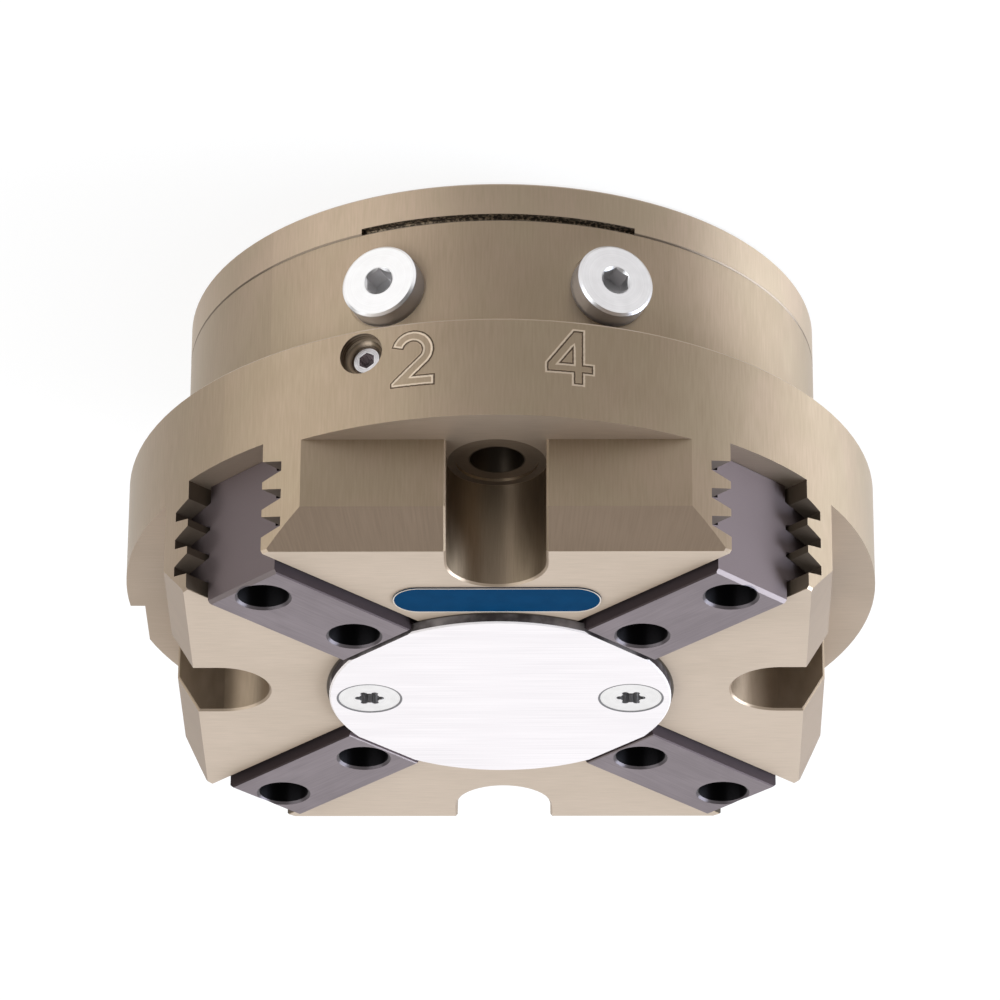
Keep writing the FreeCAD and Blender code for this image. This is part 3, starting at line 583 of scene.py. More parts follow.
    def build(self) -> bpy.types.Material:
        """Makes the material: marks of 0.4 mm, bands of 6 mm and clouds of 30 mm drive its tone.

        Returns:
            The finished material.
        """
        g = Graph.of_material(self.name)
        place = Place(g)
        fine = g.noise(place.marks(Grain.UPRIGHT, fine=0.4, long=6.0), detail=3.0)
        bands = g.noise(place.marks(Grain.UPRIGHT, fine=6.0, long=160.0))
        clouds = place.clouds(30.0, distortion=0.6)
        tone = g.step(g.blend((fine, 0.55), (bands, 0.15), (clouds, 0.45)), low=0.34, high=0.82)
        facets, guide = self.facet_mask(place), self.guide_mask(place)
        colour = self.hollows(place, self.outside(place, tone, facets), tone, guide)
        rough = g.mix(place.is_edge, g.uneven(fine, self.roughness, swing=0.16), self.edge_roughness)
        on_jaw_face = g.step(place.z, JAW_FACE - 0.6, JAW_FACE - 0.3)
        metal = g.mix(place.is_level, BARE_METAL, g.mix(on_jaw_face, self.ledge_gloss, self.face_gloss))
        metal = g.mix(guide, g.mix(facets, metal, self.face_gloss), self.guide_gloss)
        return g.surface(Base_Color=colour, Metallic=metal, Roughness=rough, Anisotropic=self.spread,
                         Tangent=place.lay(), Specular_IOR_Level=LOW_SPECULAR, Coat_Weight=self.film,
                         Coat_Roughness=self.film_roughness, Normal=g.bump(fine, depth=0.006))


@dataclass(frozen=True)
class GroundSteel:
    """Hardened, ground steel with marks along the slide, and painted shade on its flanks, on its ends, at its
    inner end and in its holes.
    """

    name: str
    light: Colour
    dark: Colour
    edge: Colour
    # Colours of painted shade on the flanks, on the rims of the holes, in the holes and on the ends;
    # inner_end is how far from the tool axis the painted shade of the inner end reaches.
    flank_shade: Colour = (0.044, 0.031, 0.032)
    hole_rim_shade: Colour = (0.13, 0.113, 0.12)
    hole: Colour = (0.014, 0.013, 0.014)
    end: Colour = (0.182, 0.143, 0.141)
    flank_facing: tuple[float, float] = (0.2, 0.4)
    flank_shade_share: float = 0.0
    end_facing: tuple[float, float] = (0.6, 0.8)
    end_shade_share: float = 0.0
    inner_end: float = 0.0
    holes: tuple[float, ...] = ()
    hole_radius: float = 5.55
    hole_chamfer: float = 0.5
    roughness: float = 0.51
    edge_roughness: float = 0.4
    spread: float = 0.9
    face_gloss: float = 0.1

    def with_holes(self, place: Place, colour: Socket, along: Socket, across: Socket) -> Socket:
        """Colour with painted shade at each hole: a dark rim, and black below the chamfer.

        Args:
            place: Coordinates of the shaded point.
            colour: Colour of the steel.
            along: Distance along the slide.
            across: Distance across the slide.

        Returns:
            Colour socket.
        """
        g = place.graph
        under_top = g.below(place.z, JAW_TOP - 0.03, soft=0.02)
        under_chamfer = g.below(place.z, JAW_TOP - self.hole_chamfer, soft=0.05)
        for distance in self.holes:
            away = g.length(g.maths("SUBTRACT", along, distance), across)
            inside = g.below(away, self.hole_radius - 0.05, soft=0.05)
            colour = g.tint(g.both(inside, under_top), colour, self.hole_rim_shade)
            colour = g.tint(g.both(inside, under_chamfer), colour, self.hole)
        return colour

    def build(self) -> bpy.types.Material:
        """Makes the material: marks of 0.25 mm over a slow drift of 9 mm, with edges of their own colour.

        Returns:
            The finished material.
        """
        g = Graph.of_material(self.name)
        place = Place(g)
        fine = g.noise(place.marks(Grain.ALONG_JAW, fine=0.25, long=9.0), detail=3.0)
        drift = g.noise(place.marks(Grain.ALONG_JAW, fine=9.0, long=16.0), distortion=0.4)
        tone = g.step(g.blend((fine, 0.5), (drift, 0.5)), low=0.32, high=0.7)
        colour = g.tint(place.is_edge, g.tint(tone, self.dark, self.light), self.edge)
        along, across, along_facing, across_facing = place.jaw_frame()
        # Painted shade on the ends, the flanks and the inner end.
        end = g.maths("MULTIPLY", g.step(along_facing, *self.end_facing), self.end_shade_share)
        colour = g.tint(end, colour, self.end)
        flank_shade = g.maths("MULTIPLY", g.step(across_facing, *self.flank_facing), self.flank_shade_share)
        inner = g.below(along, self.inner_end, soft=0.12)
        colour = g.tint(g.maths("MAXIMUM", flank_shade, inner), colour, self.flank_shade)
        colour = self.with_holes(place, colour, along, across)
        rough = g.mix(place.is_edge, g.uneven(fine, self.roughness, swing=0.14), self.edge_roughness)
        return g.surface(Base_Color=colour, Metallic=g.mix(place.is_level, BARE_METAL, self.face_gloss),
                         Roughness=rough, Anisotropic=self.spread, Tangent=place.lay(),
                         Specular_IOR_Level=LOW_SPECULAR, Normal=g.bump(fine, depth=0.004))


@dataclass(frozen=True)
class BrushedCover:
    """Matt sheet brushed across the front, with painted shade on its cut edge, broken by paler clouds, and
    thin rings of painted shade round any screws.
    """

    name: str = "brushed_cover"
    # Colours of painted shade on the cut edge and in a thin ring round each screw head.
    edge_shade: Colour = (0.06, 0.05, 0.049)
    edge_shade_pale: Colour = (0.27, 0.24, 0.232)
    ring: Colour = (0.2, 0.19, 0.19)
    gap_shade_width: float = 0.3
    screw_angles: tuple[float, ...] = DISC_SCREW_ANGLES
    light: Colour = (0.875, 0.815, 0.795)
    dark: Colour = (0.745, 0.69, 0.675)
    roughness: float = 0.6
    gloss: float = 0.02

    def build(self) -> bpy.types.Material:
        """Makes the material: hairlines of 0.12 mm over slow streaks of 5 mm, and clouds of 9 mm that break
        up the painted shade on the edge.

        Returns:
            The finished material.
        """
        g = Graph.of_material(self.name)
        place = Place(g)
        hair = g.noise(place.marks(Grain.ACROSS, fine=0.12, long=25.0), detail=4.0)
        streak = g.noise(place.marks(Grain.ACROSS, fine=5.0, long=40.0))
        tone = g.step(g.blend((hair, 0.75), (streak, 0.25)), low=0.3, high=0.68)
        shade_clouds = g.step(place.clouds(9.0, detail=5.0), low=0.38, high=0.66)
        cut = g.tint(shade_clouds, self.edge_shade, self.edge_shade_pale)
        colour = g.tint(place.aside(place.level), g.tint(tone, self.dark, self.light), cut)
        # Painted shade in a thin ring round each screw head.
        for angle in self.screw_angles:
            away, _ = place.from_axis(radial(angle) * DISC_SCREW_CIRCLE, TOOL_AXIS)
            near = g.below(away, DISC_SCREW_HEAD + self.gap_shade_width, soft=0.08)
            colour = g.tint(near, colour, self.ring)
        rough = g.uneven(hair, self.roughness, swing=0.14)
        return g.surface(Base_Color=colour, Metallic=self.gloss, Roughness=rough, Specular_IOR_Level=0.0,
                         Normal=g.bump(hair, depth=0.002))


@dataclass(frozen=True)
class TurnedMetal:
    """Metal with turned rings about one or two parallel axes, and with painted shade on the side and in the
    socket of screws and plugs.
    """

    name: str
    light: Colour
    dark: Colour
    axis: Point = TOOL_AXIS
    centres: tuple[Point, ...] = (ORIGIN,)
    roughness: float = 0.28
    ring: float = 0.3
    face: float | None = None
    socket: float = 0.0
    rim: float = 0.0
    rim_depth: float = 0.5
    # Colours of painted shade on the side of a head and in its socket.
    head_side_shade: Colour = (0.60, 0.605, 0.655)
    socket_shade: Colour = (0.68, 0.665, 0.665)

    def build(self) -> bpy.types.Material:
        """Makes the material: noise over the distance from the nearest axis gives the rings.

        Returns:
            The finished material.
        """
        g = Graph.of_material(self.name)
        place = Place(g)
        away, along = place.from_axis(self.centres[0], self.axis)
        for centre in self.centres[1:]:
            away = g.maths("MINIMUM", away, place.from_axis(centre, self.axis)[0])
        rings = g.noise(g.join(g.maths("DIVIDE", away, self.ring), 0.0), detail=3.0)
        drift = place.clouds(2.5, detail=2.0)
        colour = g.tint(g.step(g.blend((rings, 0.6), (drift, 0.4)), low=0.3, high=0.7), self.dark, self.light)
        # Painted shade in the socket and on the side behind the face.
        if self.face is not None:
            sunk = g.below(along, self.face - 0.1, soft=0.06)
            colour = g.tint(g.both(g.below(away, self.socket, soft=0.05), sunk), colour, self.socket_shade)
            behind = g.below(along, self.face - self.rim_depth, soft=0.1)
            side = g.both(g.step(away, self.rim - 0.05, self.rim), behind)
            colour = g.tint(side, colour, self.head_side_shade)
        rough = g.uneven(rings, self.roughness, swing=0.16)
        return g.surface(Base_Color=colour, Metallic=BARE_METAL, Roughness=rough,
                         Normal=g.bump(rings, depth=0.006))


@dataclass(frozen=True)
class Speckled:
    """Plain rubber, plastic or blackened metal with a fine mottle."""

    name: str
    light: Colour
    dark: Colour
    metallic: float = 0.0
    roughness: float = 0.6
    size: float = 0.4

    def build(self) -> bpy.types.Material:
        """Makes the material: a mottle of the given size over clouds ten times as large.

        Returns:
            The finished material.
        """
        g = Graph.of_material(self.name)
        place = Place(g)
        mottle, clouds = [place.clouds(width) for width in (self.size, self.size * 10)]
        tone = g.step(g.blend((mottle, 0.5), (clouds, 0.5)), low=0.34, high=0.66)
        return g.surface(Base_Color=g.tint(tone, self.dark, self.light), Metallic=self.metallic,
                         Roughness=g.uneven(mottle, self.roughness, swing=0.2),
                         Normal=g.bump(mottle, depth=0.01, strength=0.6))


@dataclass(frozen=True)
class Enamel:
    """Dull blue enamel with a faint orange-peel."""

    name: str = "blue_enamel"
    light: Colour = (0.0026, 0.0435, 0.114)
    dark: Colour = (0.0022, 0.0388, 0.102)
    roughness: float = 0.45
    specular: float = 0.01

    def build(self) -> bpy.types.Material:
        """Makes the material: clouds of 4 mm in colour, ripples of 0.5 mm in height.

        Returns:
            The finished material.
        """
        g = Graph.of_material(self.name)
        place = Place(g)
        clouds, ripples = [place.clouds(width, detail=2.0) for width in (4.0, 0.5)]
        return g.surface(Base_Color=g.tint(g.step(clouds, low=0.3, high=0.7), self.dark, self.light),
                         Roughness=g.uneven(ripples, self.roughness, swing=0.1),
                         Specular_IOR_Level=self.specular, Normal=g.bump(ripples, depth=0.004))


@dataclass(frozen=True)
class CutGroove:
    """Flank of an engraved stroke: painted shade along its outer side, painted highlight along its inner
    side.
    """

    name: str = "engraved_line"
    # Colours of the painted highlight, of the line's own metal and of the painted shade.
    lit_highlight: Colour = (0.78, 0.65, 0.51)
    plain: Colour = (0.48, 0.36, 0.255)
    deep: Colour = (0.115, 0.082, 0.056)
    highlight_band: tuple[float, float] = (0.58, 0.84)
    shade_band: tuple[float, float] = (0.2, 0.42)
    wobble: float = 0.24
    roughness: float = 0.5
    spread: float = 0.85

    def build(self) -> bpy.types.Material:
        """Makes the material: the piece's own map gives the place along and across the line.

        Returns:
            The finished material.
        """
        g = Graph.of_material(self.name)
        place = Place(g)
        along, across, _ = g.split(g.node("UVMap", uv_map="line").outputs[0])
        stretched = g.join(g.maths("MULTIPLY", along, 1.6), g.maths("MULTIPLY", across, 1.5))
        ragged = g.noise(stretched, detail=3.0)
        across = g.maths("ADD", across, g.uneven(ragged, 0.0, self.wobble))
        # Grit breaks up the painted highlight.
        grit = g.noise(place.marks(Grain.UPRIGHT, fine=0.2, long=0.6))
        grit_share = g.maths("MULTIPLY_ADD", grit, 0.7, 0.45, clamp=True)
        highlight = g.maths("MULTIPLY", g.band(across, *self.highlight_band, soft=0.16), grit_share)
        colour = g.tint(highlight, self.plain, self.lit_highlight)
        colour = g.tint(g.band(across, *self.shade_band, soft=0.14), colour, self.deep)
        return g.surface(Base_Color=colour, Metallic=BARE_METAL, Roughness=self.roughness,
                         Anisotropic=self.spread, Tangent=place.lay(), Normal=g.bump(grit, depth=0.01))


def grid_piece(name: str, points: np.ndarray, uv: np.ndarray | None = None,
               around: bool = True) -> bpy.types.Object:
    """Mesh of a surface that is sampled on a grid.

    Args:
        name: Name of the piece.
        points: Array of rows by columns by 3, in millimetres.
        uv: Array of rows by columns plus one by 2 for the map "line", or None.
        around: Joins the last column to the first.

    Returns:
        Object at the origin, with doubled points merged and smooth faces.
    """
    rows, columns = points.shape[:2]
    index = np.arange(rows * columns).reshape(rows, columns)
    right = np.roll(index, -1, axis=1) if around else index[:, 1:]
    left = index if around else index[:, :-1]
    faces = np.stack([left[:-1], right[:-1], right[1:], left[1:]], axis=-1).reshape(-1, 4)
    mesh = bpy.data.meshes.new(name)
    mesh.from_pydata((points.reshape(-1, 3) * MM).tolist(), [], faces.tolist())
    if uv is not None:
        layer = mesh.uv_layers.new(name="line")
        corner = np.stack([uv[:-1, :-1], uv[:-1, 1:], uv[1:, 1:], uv[1:, :-1]], axis=2)
        layer.data.foreach_set("uv", corner.reshape(-1).astype(np.float32))
    work = bmesh.new()
    work.from_mesh(mesh)
    bmesh.ops.remove_doubles(work, verts=work.verts, dist=1e-7)
    bmesh.ops.dissolve_degenerate(work, edges=work.edges, dist=1e-8)
    work.to_mesh(mesh)
    work.free()
    mesh.polygons.foreach_set("use_smooth", np.ones(len(mesh.polygons), dtype=bool))
    piece = bpy.data.objects.new(name, mesh)
    bpy.context.scene.collection.objects.link(piece)
    return piece


def dress_piece(piece: bpy.types.Object, material: bpy.types.Material, body: str) -> None:
    """Gives a new piece its material and its body, and logs it.

    Args:
        piece: The new piece.
        material: Its finish.
        body: Body that it rides on.
    """
    piece.data.materials.append(material)
    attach(piece, body)
    LOG.info("piece %s: %d faces on %s", piece.name, len(piece.data.polygons), body)


@dataclass
class NodeFinishes:
    """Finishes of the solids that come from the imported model."""

    body: SatinBody = SatinBody()
    end_cover: SatinBody = SatinBody("satin_end_cover", wall_light=(0.52, 0.414, 0.297),
                                     wall_rose=(0.54, 0.410, 0.307), wall_dark=(0.437, 0.342, 0.24))
    # Jaws: painted shade on their flanks, ends and inner end, and in their holes.
    jaw: GroundSteel = GroundSteel("jaw_steel", light=(0.235, 0.195, 0.202), dark=(0.18, 0.148, 0.154),
                                   edge=(0.245, 0.212, 0.206), flank_shade_share=0.9, end_shade_share=0.9,
                                   inner_end=33.75, holes=JAW_HOLES)
    hook: GroundSteel = GroundSteel("hook_steel", light=(0.52, 0.51, 0.50), dark=(0.38, 0.37, 0.36),
                                    edge=(0.75, 0.74, 0.73))
    cover: BrushedCover = BrushedCover()
    port_level: float = 22.0
    port_turn: float = 20.0
    head_roughness: float = 0.36

    def turned_finishes(self) -> dict[str, TurnedMetal]:
        """Turned finishes, each with the axes of its own node.

        Returns:
            Finishes by the name of the node.
        """
        spots = tuple(tuple(radial(angle) * DISC_SCREW_CIRCLE) for angle in DISC_SCREW_ANGLES)
        made = {"centre_cover_screws": TurnedMetal(
            "cover_screw_steel", (0.96, 0.945, 0.94), (0.84, 0.825, 0.82), centres=spots,
            roughness=self.head_roughness, face=81.5, socket=3.2, rim=DISC_SCREW_HEAD,
            socket_shade=(0.46, 0.45, 0.45))}
        # air_plug_a gets a darker copy of the nickel than air_plug_b.
        darker_nickel = (0.80, 0.78, 0.78), (0.70, 0.68, 0.68)
        lighter_nickel = (1.0, 0.985, 0.975), (0.93, 0.91, 0.90)
        ports = ("air_plug_a", self.port_turn, darker_nickel), ("air_plug_b", -self.port_turn, lighter_nickel)
        for node, turn, (light, dark) in ports:
            made[node] = TurnedMetal(
                node + "_nickel", light, dark, spoke(turn), ((0.0, 0.0, self.port_level),),
                roughness=self.head_roughness, face=67.6, socket=2.95, rim=7.6)
        made["set_screw"] = TurnedMetal(
            "set_screw_steel", (0.76, 0.73, 0.73), (0.46, 0.435, 0.435), spoke(PURGE_TURN),
            ((0.0, 0.0, PURGE_LEVEL),), face=72.0, socket=1.8, rim=2.9, socket_shade=(0.46, 0.41, 0.415))
        made["piston"] = TurnedMetal("piston_aluminium", (0.78, 0.78, 0.79), (0.62, 0.62, 0.63))
        made["rod_guide_bush"] = TurnedMetal("bush_bronze", (0.66, 0.45, 0.20), (0.50, 0.33, 0.14))
        return made

    def dress(self) -> None:
        """Puts a finish on every node of the frame."""
        rubber = Speckled("seal_rubber", (0.030, 0.029, 0.028), (0.016, 0.016, 0.016)).build()
        plastic = Speckled("guide_plastic", (0.24, 0.17, 0.115), (0.16, 0.115, 0.08)).build()
        oxide = Speckled("black_oxide", (0.16, 0.16, 0.165), (0.09, 0.09, 0.095), metallic=0.9,
                         roughness=0.42, size=0.25).build()
        jaw = self.jaw.build()
        finishes = {"housing": self.body.build(), "cylinder_cover": self.end_cover.build(),
                    "centre_cover": self.cover.build(), "wedge_hook": self.hook.build(),
                    "piston_guide_ring": plastic}
        finishes |= {"base_jaw_%d" % number: jaw for number in range(1, 5)}
        finishes |= {node: rubber for node in ("cover_o_ring", "air_plug_seals", "rod_seal", "piston_seal")}
        finishes |= {node: oxide for node in ("cover_screws", "direct_port_screws", "piston_screw")}
        finishes |= {node: finish.build() for node, finish in self.turned_finishes().items()}
        for node, material in finishes.items():
            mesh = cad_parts[node].data
            mesh.materials.clear()
            mesh.materials.append(material)
            LOG.info("node %s: finish %s", node, material.name)


@dataclass
class NamePlate:
    """Bare enamelled plate with round ends on the jaw face, in front of the centre cover."""

    length: float = 40.4
    width: float = 10.2
    thickness: float = 0.4
    distance: float = 40.35
    side_shift: float = 0.1
    rim: float = 0.28
    rim_shift: float = 0.13
    lift: float = 0.01
    sunk: float = 0.02
    foot: tuple[float, float] = (0.02, 0.05)
    shoulder: tuple[tuple[float, float], ...] = ((0.0, 0.12), (0.05, 0.03), (0.14, 0.0))
    skirt: float = 0.06
    fill: float = 0.005
    crown: float = 0.05

    def stadium(self, profile: Sequence[Sequence[float]], shift: float = 0.0,
                count: int = 96) -> np.ndarray:
        """Surface of a round-ended plate.

        A point is C(s) + r(t) N(s) + h(t) Z: N turns once round, C is the end of the middle line on N's side,
        and (r, h) is the profile.

        Args:
            profile: Pairs of reach from the middle line and height.
            shift: How much nearer to the front the surface lies.
            count: Points round the plate.

        Returns:
            Array of profile points by count by 3.
        """
        turn = 2 * np.pi * (np.arange(count) + 0.5) / count
        side = np.array(radial(FRONT_ANGLE + 90.0))
        out = np.array(radial(FRONT_ANGLE))
        normal = np.cos(turn)[:, None] * side + np.sin(turn)[:, None] * out
        half = (self.length - self.width) / 2
        spine = np.sign(np.cos(turn))[:, None] * half * side
        reach, height = np.array(profile).T
        middle = out * (self.distance + shift) + side * self.side_shift
        points = middle + spine[None] + reach[:, None, None] * normal[None]
        points[..., 2] = JAW_FACE + height[:, None]
        return points

    def build(self) -> None:
        """Builds the metal plate and the enamel that fills it.

        The plate's profile goes out along its underside, up the foot and the rounded shoulder to the rim,
        and in to its sunk middle. The enamel's top rises by crown (1 - s^4), where s is the share of its
        reach.
        """
        reach, top = self.width / 2, self.thickness
        inset, rise = self.foot
        plate = [(0.0, self.lift), (reach - inset, self.lift), (reach, self.lift + rise)]
        plate += [(reach - back, top - drop) for back, drop in self.shoulder]
        plate += [(reach - self.rim - self.rim_shift, top), (0.0, top - self.sunk)]
        # The plate's side wall gets painted shade in dark blue.
        metal = BrushedCover("plate_metal", edge_shade=(0.03, 0.045, 0.07), edge_shade_pale=(0.03, 0.045, 0.07),
                             light=(0.70, 0.63, 0.55), dark=(0.58, 0.51, 0.44), screw_angles=()).build()
        dress_piece(grid_piece("name_plate", self.stadium(plate)), metal, "housing")
        inner = reach - self.rim
        share = np.array([1.0, 0.985, 0.96, 0.9, 0.75, 0.5, 0.25, 0.0])
        dome = np.stack([inner * share, top + self.fill + self.crown * (1 - share ** 4)], axis=1)
        enamel = np.concatenate([[(inner, top - self.skirt)], dome])
        piece = grid_piece("name_plate_enamel", self.stadium(enamel, self.rim_shift))
        dress_piece(piece, Enamel().build(), "housing")


@dataclass
class PortMark:
    """Plain numeral above an air port, drawn as a low outline bead on the flange."""

    digit: Digit
    turn: float
    low: float = 50.4
    line: float = 0.85
    half_width: float = 4.7
    proud: float = 0.035
    foot: float = 0.004
    stride: float = 0.6
    columns: int = 7
    mitre_limit: float = 0.4

    def outlines(self) -> list[np.ndarray]:
        """Closed outlines of the numeral.

        The four is two polygons. The two is a pair of arcs of one centre, with the straight runs that touch
        them.

        Returns:
            Arrays of points to the right of and above the numeral's lower left corner.
        """
        if self.digit is Digit.FOUR:
            outer = [(5.4, 0), (7.25, 0), (7.25, 2.5), (9.2, 2.5), (9.2, 4.3), (7.25, 4.3), (7.25, 11.6),
                     (5.4, 11.6), (0.2, 4.3), (0.2, 2.5), (5.4, 2.5)]
            inner = [(5.4, 4.3), (5.4, 8.4), (2.47, 4.3)]
            return [np.array(outer, float), np.array(inner, float)]
        centre = np.array([4.5, 7.65])
        outer_radius, inner_radius = 3.95, 2.1
        sweep = np.radians(np.linspace(165.0, -45.0, 28))
        arc = np.stack([np.cos(sweep), np.sin(sweep)], axis=1)
        foot = np.array([(4.3, 1.85), (8.6, 1.85), (8.6, 0.0), (0.4, 0.0), (0.4, 0.72)])
        return [np.concatenate([centre + outer_radius * arc, foot, centre + inner_radius * arc[::-1]])]

    def sampled(self, outline: np.ndarray) -> np.ndarray:
        """Points along a closed outline, with each straight run cut into equal strides.

        Args:
            outline: Closed run of flat points.

        Returns:
            Array of flat points.
        """
        run = np.roll(outline, -1, axis=0) - outline
        steps = np.maximum(1, np.ceil(np.linalg.norm(run, axis=1) / self.stride)).astype(int)
        start = np.repeat(np.arange(len(outline)), steps)
        share = (np.arange(len(start)) - np.repeat(np.cumsum(steps) - steps, steps)) / np.repeat(steps, steps)
        return outline[start] + share[:, None] * run[start]

    def ribbon(self, outline: np.ndarray) -> tuple[np.ndarray, np.ndarray]:
        """Low bead along a closed outline, wrapped on the flange.

        Each point is P + w L M, where M is the mitre of the two runs that meet there, L is the width of the
        line and w goes across it from -1/2 to 1/2. The flat point (u, v) lies on the flange at the turn u / R
        and the height low - v, and it rises by proud (1 - (2 w)^4).

        Args:
            outline: Closed run of flat points.

        Returns:
            Points of the grid, and their places along and across the line.
        """
        path = self.sampled(outline)
        ahead = np.roll(path, -1, axis=0) - path
        strides = np.linalg.norm(ahead, axis=1)
        ahead /= strides[:, None]
        normal = np.stack([ahead[:, 1], -ahead[:, 0]], axis=1)
        mitre = normal + np.roll(normal, 1, axis=0)
        mitre /= np.maximum(np.sum(mitre * normal, axis=1), self.mitre_limit)[:, None]
        across = np.linspace(-0.5, 0.5, self.columns)
        flat = path[None] + (across * self.line)[:, None, None] * mitre[None]
        rise = self.proud * (1 - (2 * across) ** 4) + self.foot
        angle = math.radians(from_front(self.turn)) - (flat[..., 0] - self.half_width) / FLANGE_RADIUS
        reach = (FLANGE_RADIUS + rise)[:, None]
        points = np.stack([reach * np.cos(angle), reach * np.sin(angle), self.low - flat[..., 1]], axis=2)
        length = np.concatenate([[0.0], np.cumsum(strides)])
        uv = np.stack(np.broadcast_arrays(length[None], (across + 0.5)[:, None]), axis=2)
        return points, uv

    def build(self, material: bpy.types.Material) -> None:
        """Builds one piece for each outline.

        Args:
            material: Finish of the engraved lines.
        """
        for number, outline in enumerate(self.outlines()):
            points, uv = self.ribbon(outline)
            name = "port_mark_%d_line_%d" % (self.digit.value, number + 1)
            dress_piece(grid_piece(name, points, uv), material, "housing")


@dataclass
class JawThreads:
    """Screw threads in the two holes of each base jaw."""

    wall: float = 3.39
    depth: float = 0.36
    pitch: float = 1.25
    low: float = 65.7
    high: float = 75.5
    rows_per_pitch: int = 8
    columns: int = 40

    def helix(self, x: float, y: float) -> np.ndarray:
        """Inside of a thread: the radius falls by a triangle wave of z / pitch - turn / 360 degrees.

        Args:
            x: Place of the hole.
            y: Place of the hole.

        Returns:
            Array of rows by columns by 3.
        """
        count = int((self.high - self.low) / self.pitch * self.rows_per_pitch) + 1
        rows = np.linspace(self.low, self.high, count)[:, None]
        turn = np.linspace(0, 2 * np.pi, self.columns, endpoint=False)[None]
        phase = (rows / self.pitch - turn / (2 * np.pi)) % 1.0
        reach = self.wall - self.depth * (1 - np.abs(2 * phase - 1))
        return np.stack([x + reach * np.cos(turn), y - reach * np.sin(turn), rows + 0 * turn], axis=2)

    def build(self, material: bpy.types.Material) -> None:
        """Builds one piece for each hole.

        Args:
            material: Finish of the threads.
        """
        for number in range(4):
            along = radial(90.0 * number)
            for place, distance in zip(("inner", "outer"), JAW_HOLES):
                points = self.helix(along.x * distance, along.y * distance)
                name = "jaw_%d_thread_%s" % (number + 1, place)
                dress_piece(grid_piece(name, points), material, "jaw_%d" % (number + 1))


@dataclass(frozen=True)
class Softbox:
    """Oval lamp that looks at the part, with its distance, size and aim in metres."""

    name: str
    turn: float
    elevation: float
    distance: float
    size: tuple[float, float]
    radiance: float
    colour: Colour = (1.0, 1.0, 1.0)
    aim: Point = (0.0, 0.0, 0.05)

    def build(self) -> None:
        """Makes the lamp; its power is radiance times pi times its area."""
        lamp = bpy.data.lights.new(self.name, "AREA")
        lamp.shape = "ELLIPSE"
        lamp.size, lamp.size_y = self.size
        area = math.pi / 4 * self.size[0] * self.size[1]
        lamp.energy = self.radiance * math.pi * area
        lamp.color = self.colour
        back = radial(from_front(self.turn)) * math.cos(math.radians(self.elevation))
        back.z = math.sin(math.radians(self.elevation))
        holder = bpy.data.objects.new(self.name, lamp)
        holder.location = Vector(self.aim) + back * self.distance
        holder.rotation_mode = "QUATERNION"
        holder.rotation_quaternion = back.to_track_quat("Z", "Y")
        holder.visible_camera = False
        bpy.context.scene.collection.objects.link(holder)
        LOG.info("lamp %s", self.name)


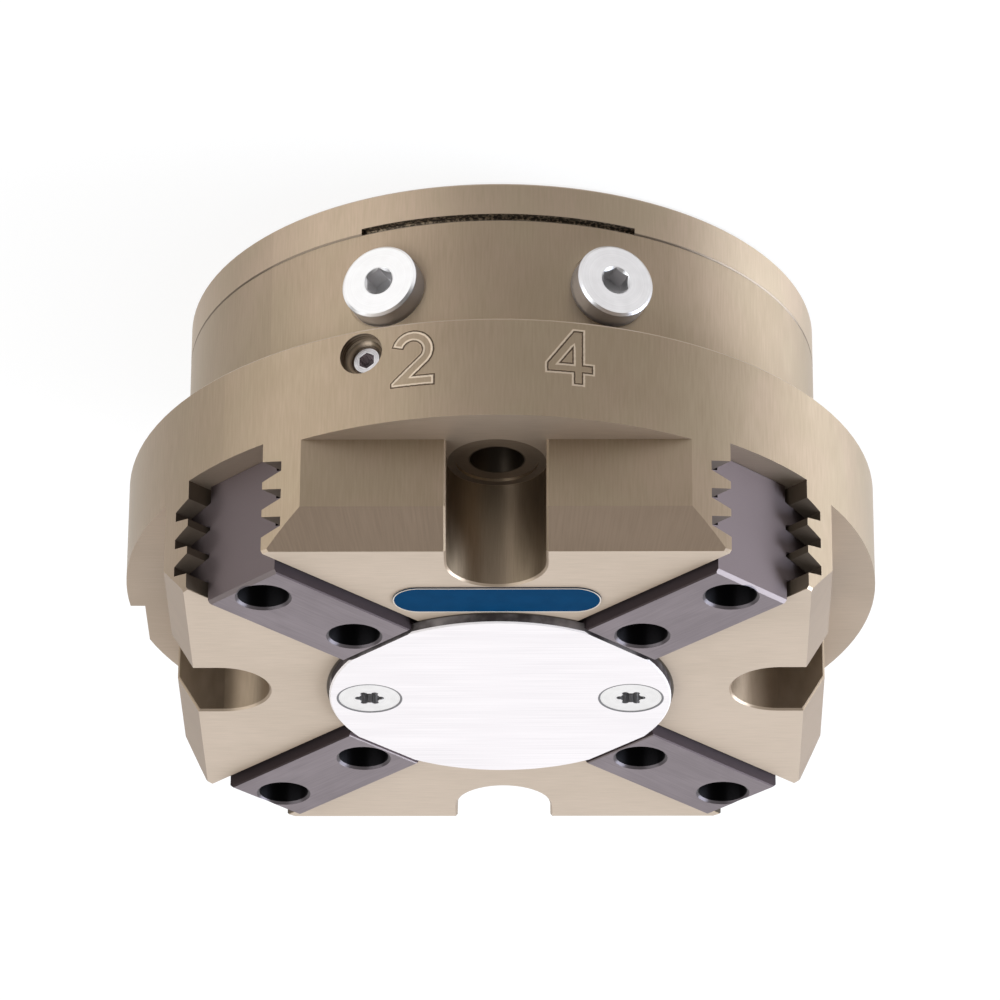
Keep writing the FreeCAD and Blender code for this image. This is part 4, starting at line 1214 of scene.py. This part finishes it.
@dataclass
class Studio:
    """Pale floor, soft lamps, a plain sky and the camera."""

    lamps: tuple[Softbox, ...] = (
        Softbox("lamp_left", turn=-54.0, elevation=22.0, distance=1.6, size=(2.15, 1.2), radiance=2.9,
                colour=(0.96, 1.0, 1.03)),
        Softbox("lamp_right", turn=105.0, elevation=24.0, distance=1.6, size=(1.5, 1.35), radiance=5.2,
                colour=(0.88, 1.0, 1.18)),
    )
    floor_half: float = 12000.0
    floor_level: float = -0.2
    floor_cloud: float = 250.0
    floor_shade: float = 0.20
    floor_swing: float = 0.02
    floor_glow: float = 0.83
    sky_turn: float = 165.0
    sky_slant: tuple[float, float] = (0.6, 0.8)
    sky_limits: tuple[float, float] = (0.1, 0.6)
    sky_dark: float = 0.10
    sky_light: float = 1.16
    eye: Point = (789.414, -814.403, 624.762)
    tilt: Point = (-62.6123, 0.2798, -135.7603)
    lens: float = 227.553
    sensor: float = 36.0
    clip: tuple[float, float] = (0.01, 100.0)

    def floor(self) -> None:
        """Makes a wide floor whose glow only the camera, mirror-like and clear surfaces see."""
        side = np.linspace(-1.0, 1.0, 3) * self.floor_half
        points = np.stack(np.broadcast_arrays(side[None, :], side[:, None], self.floor_level), axis=2)
        floor = grid_piece("floor", points, around=False)
        g = Graph.of_material("pale_floor")
        shade = g.uneven(Place(g).clouds(self.floor_cloud, detail=2.0), self.floor_shade, self.floor_swing)
        diffuse = g.run("BsdfDiffuse", {"Color": g.join(shade, shade, shade)})
        rays = g.node("LightPath").outputs
        seen = g.maths("MAXIMUM", rays["Is Camera Ray"], rays["Is Glossy Ray"])
        seen = g.maths("MAXIMUM", seen, rays["Is Transmission Ray"])
        glow = g.run("Emission", {"Strength": g.maths("MULTIPLY", seen, self.floor_glow)})
        g.feed(g.node("OutputMaterial").inputs["Surface"], g.run("AddShader", {0: diffuse, 1: glow}))
        floor.data.materials.append(g.owner)

    def sky(self) -> None:
        """Makes a sky that is light behind and above the part and dim in front of it."""
        g = Graph(bpy.data.worlds.new("studio_sky"))
        outward, upward = self.sky_slant
        brightest = radial(from_front(self.sky_turn)) * outward + Vector(TOOL_AXIS) * upward
        towards = g.node("TexCoord").outputs["Generated"]
        share = g.run("VectorMath", {0: towards, 1: brightest}, "Value", operation="DOT_PRODUCT")
        low, high = self.sky_limits
        feeds = {"Value": share, "From Min": low, "From Max": high,
                 "To Min": self.sky_dark, "To Max": self.sky_light}
        strength = g.run("MapRange", feeds, interpolation_type="SMOOTHSTEP")
        g.feed(g.node("OutputWorld").inputs["Surface"], g.run("Background", {"Strength": strength}))
        bpy.context.scene.world = g.owner

    def camera(self) -> None:
        """Puts the camera above the jaws, rolled half round, so that the jaws point down in the picture."""
        lens = bpy.data.cameras.new("camera")
        lens.lens, lens.sensor_width = self.lens, self.sensor
        lens.clip_start, lens.clip_end = self.clip
        holder = bpy.data.objects.new("camera", lens)
        holder.location = Vector(self.eye) * MM
        holder.rotation_euler = [math.radians(angle) for angle in self.tilt]
        bpy.context.scene.collection.objects.link(holder)
        bpy.context.scene.camera = holder

    def build(self) -> None:
        """Builds floor, sky, camera and lamps."""
        bpy.context.scene.view_settings.view_transform = "Standard"
        self.floor()
        self.sky()
        self.camera()
        for lamp in self.lamps:
            lamp.build()


def main() -> None:
    """Dresses the frame, adds the pieces, and builds the studio."""
    logging.basicConfig(level=logging.INFO, format="%(name)s: %(message)s")
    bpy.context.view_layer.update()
    NodeFinishes().dress()
    NamePlate().build()
    groove = CutGroove().build()
    PortMark(Digit.TWO, turn=-12.15).build(groove)
    PortMark(Digit.FOUR, turn=10.9).build(groove)
    # Near-black steel: painted shade deep in the jaw holes.
    thread = Speckled("shaded_thread_steel", (0.026, 0.024, 0.025), (0.014, 0.013, 0.014), metallic=0.9,
                      roughness=0.45, size=0.3).build()
    JawThreads().build(thread)
    Studio().build()


if __name__ == "__main__":
    main()
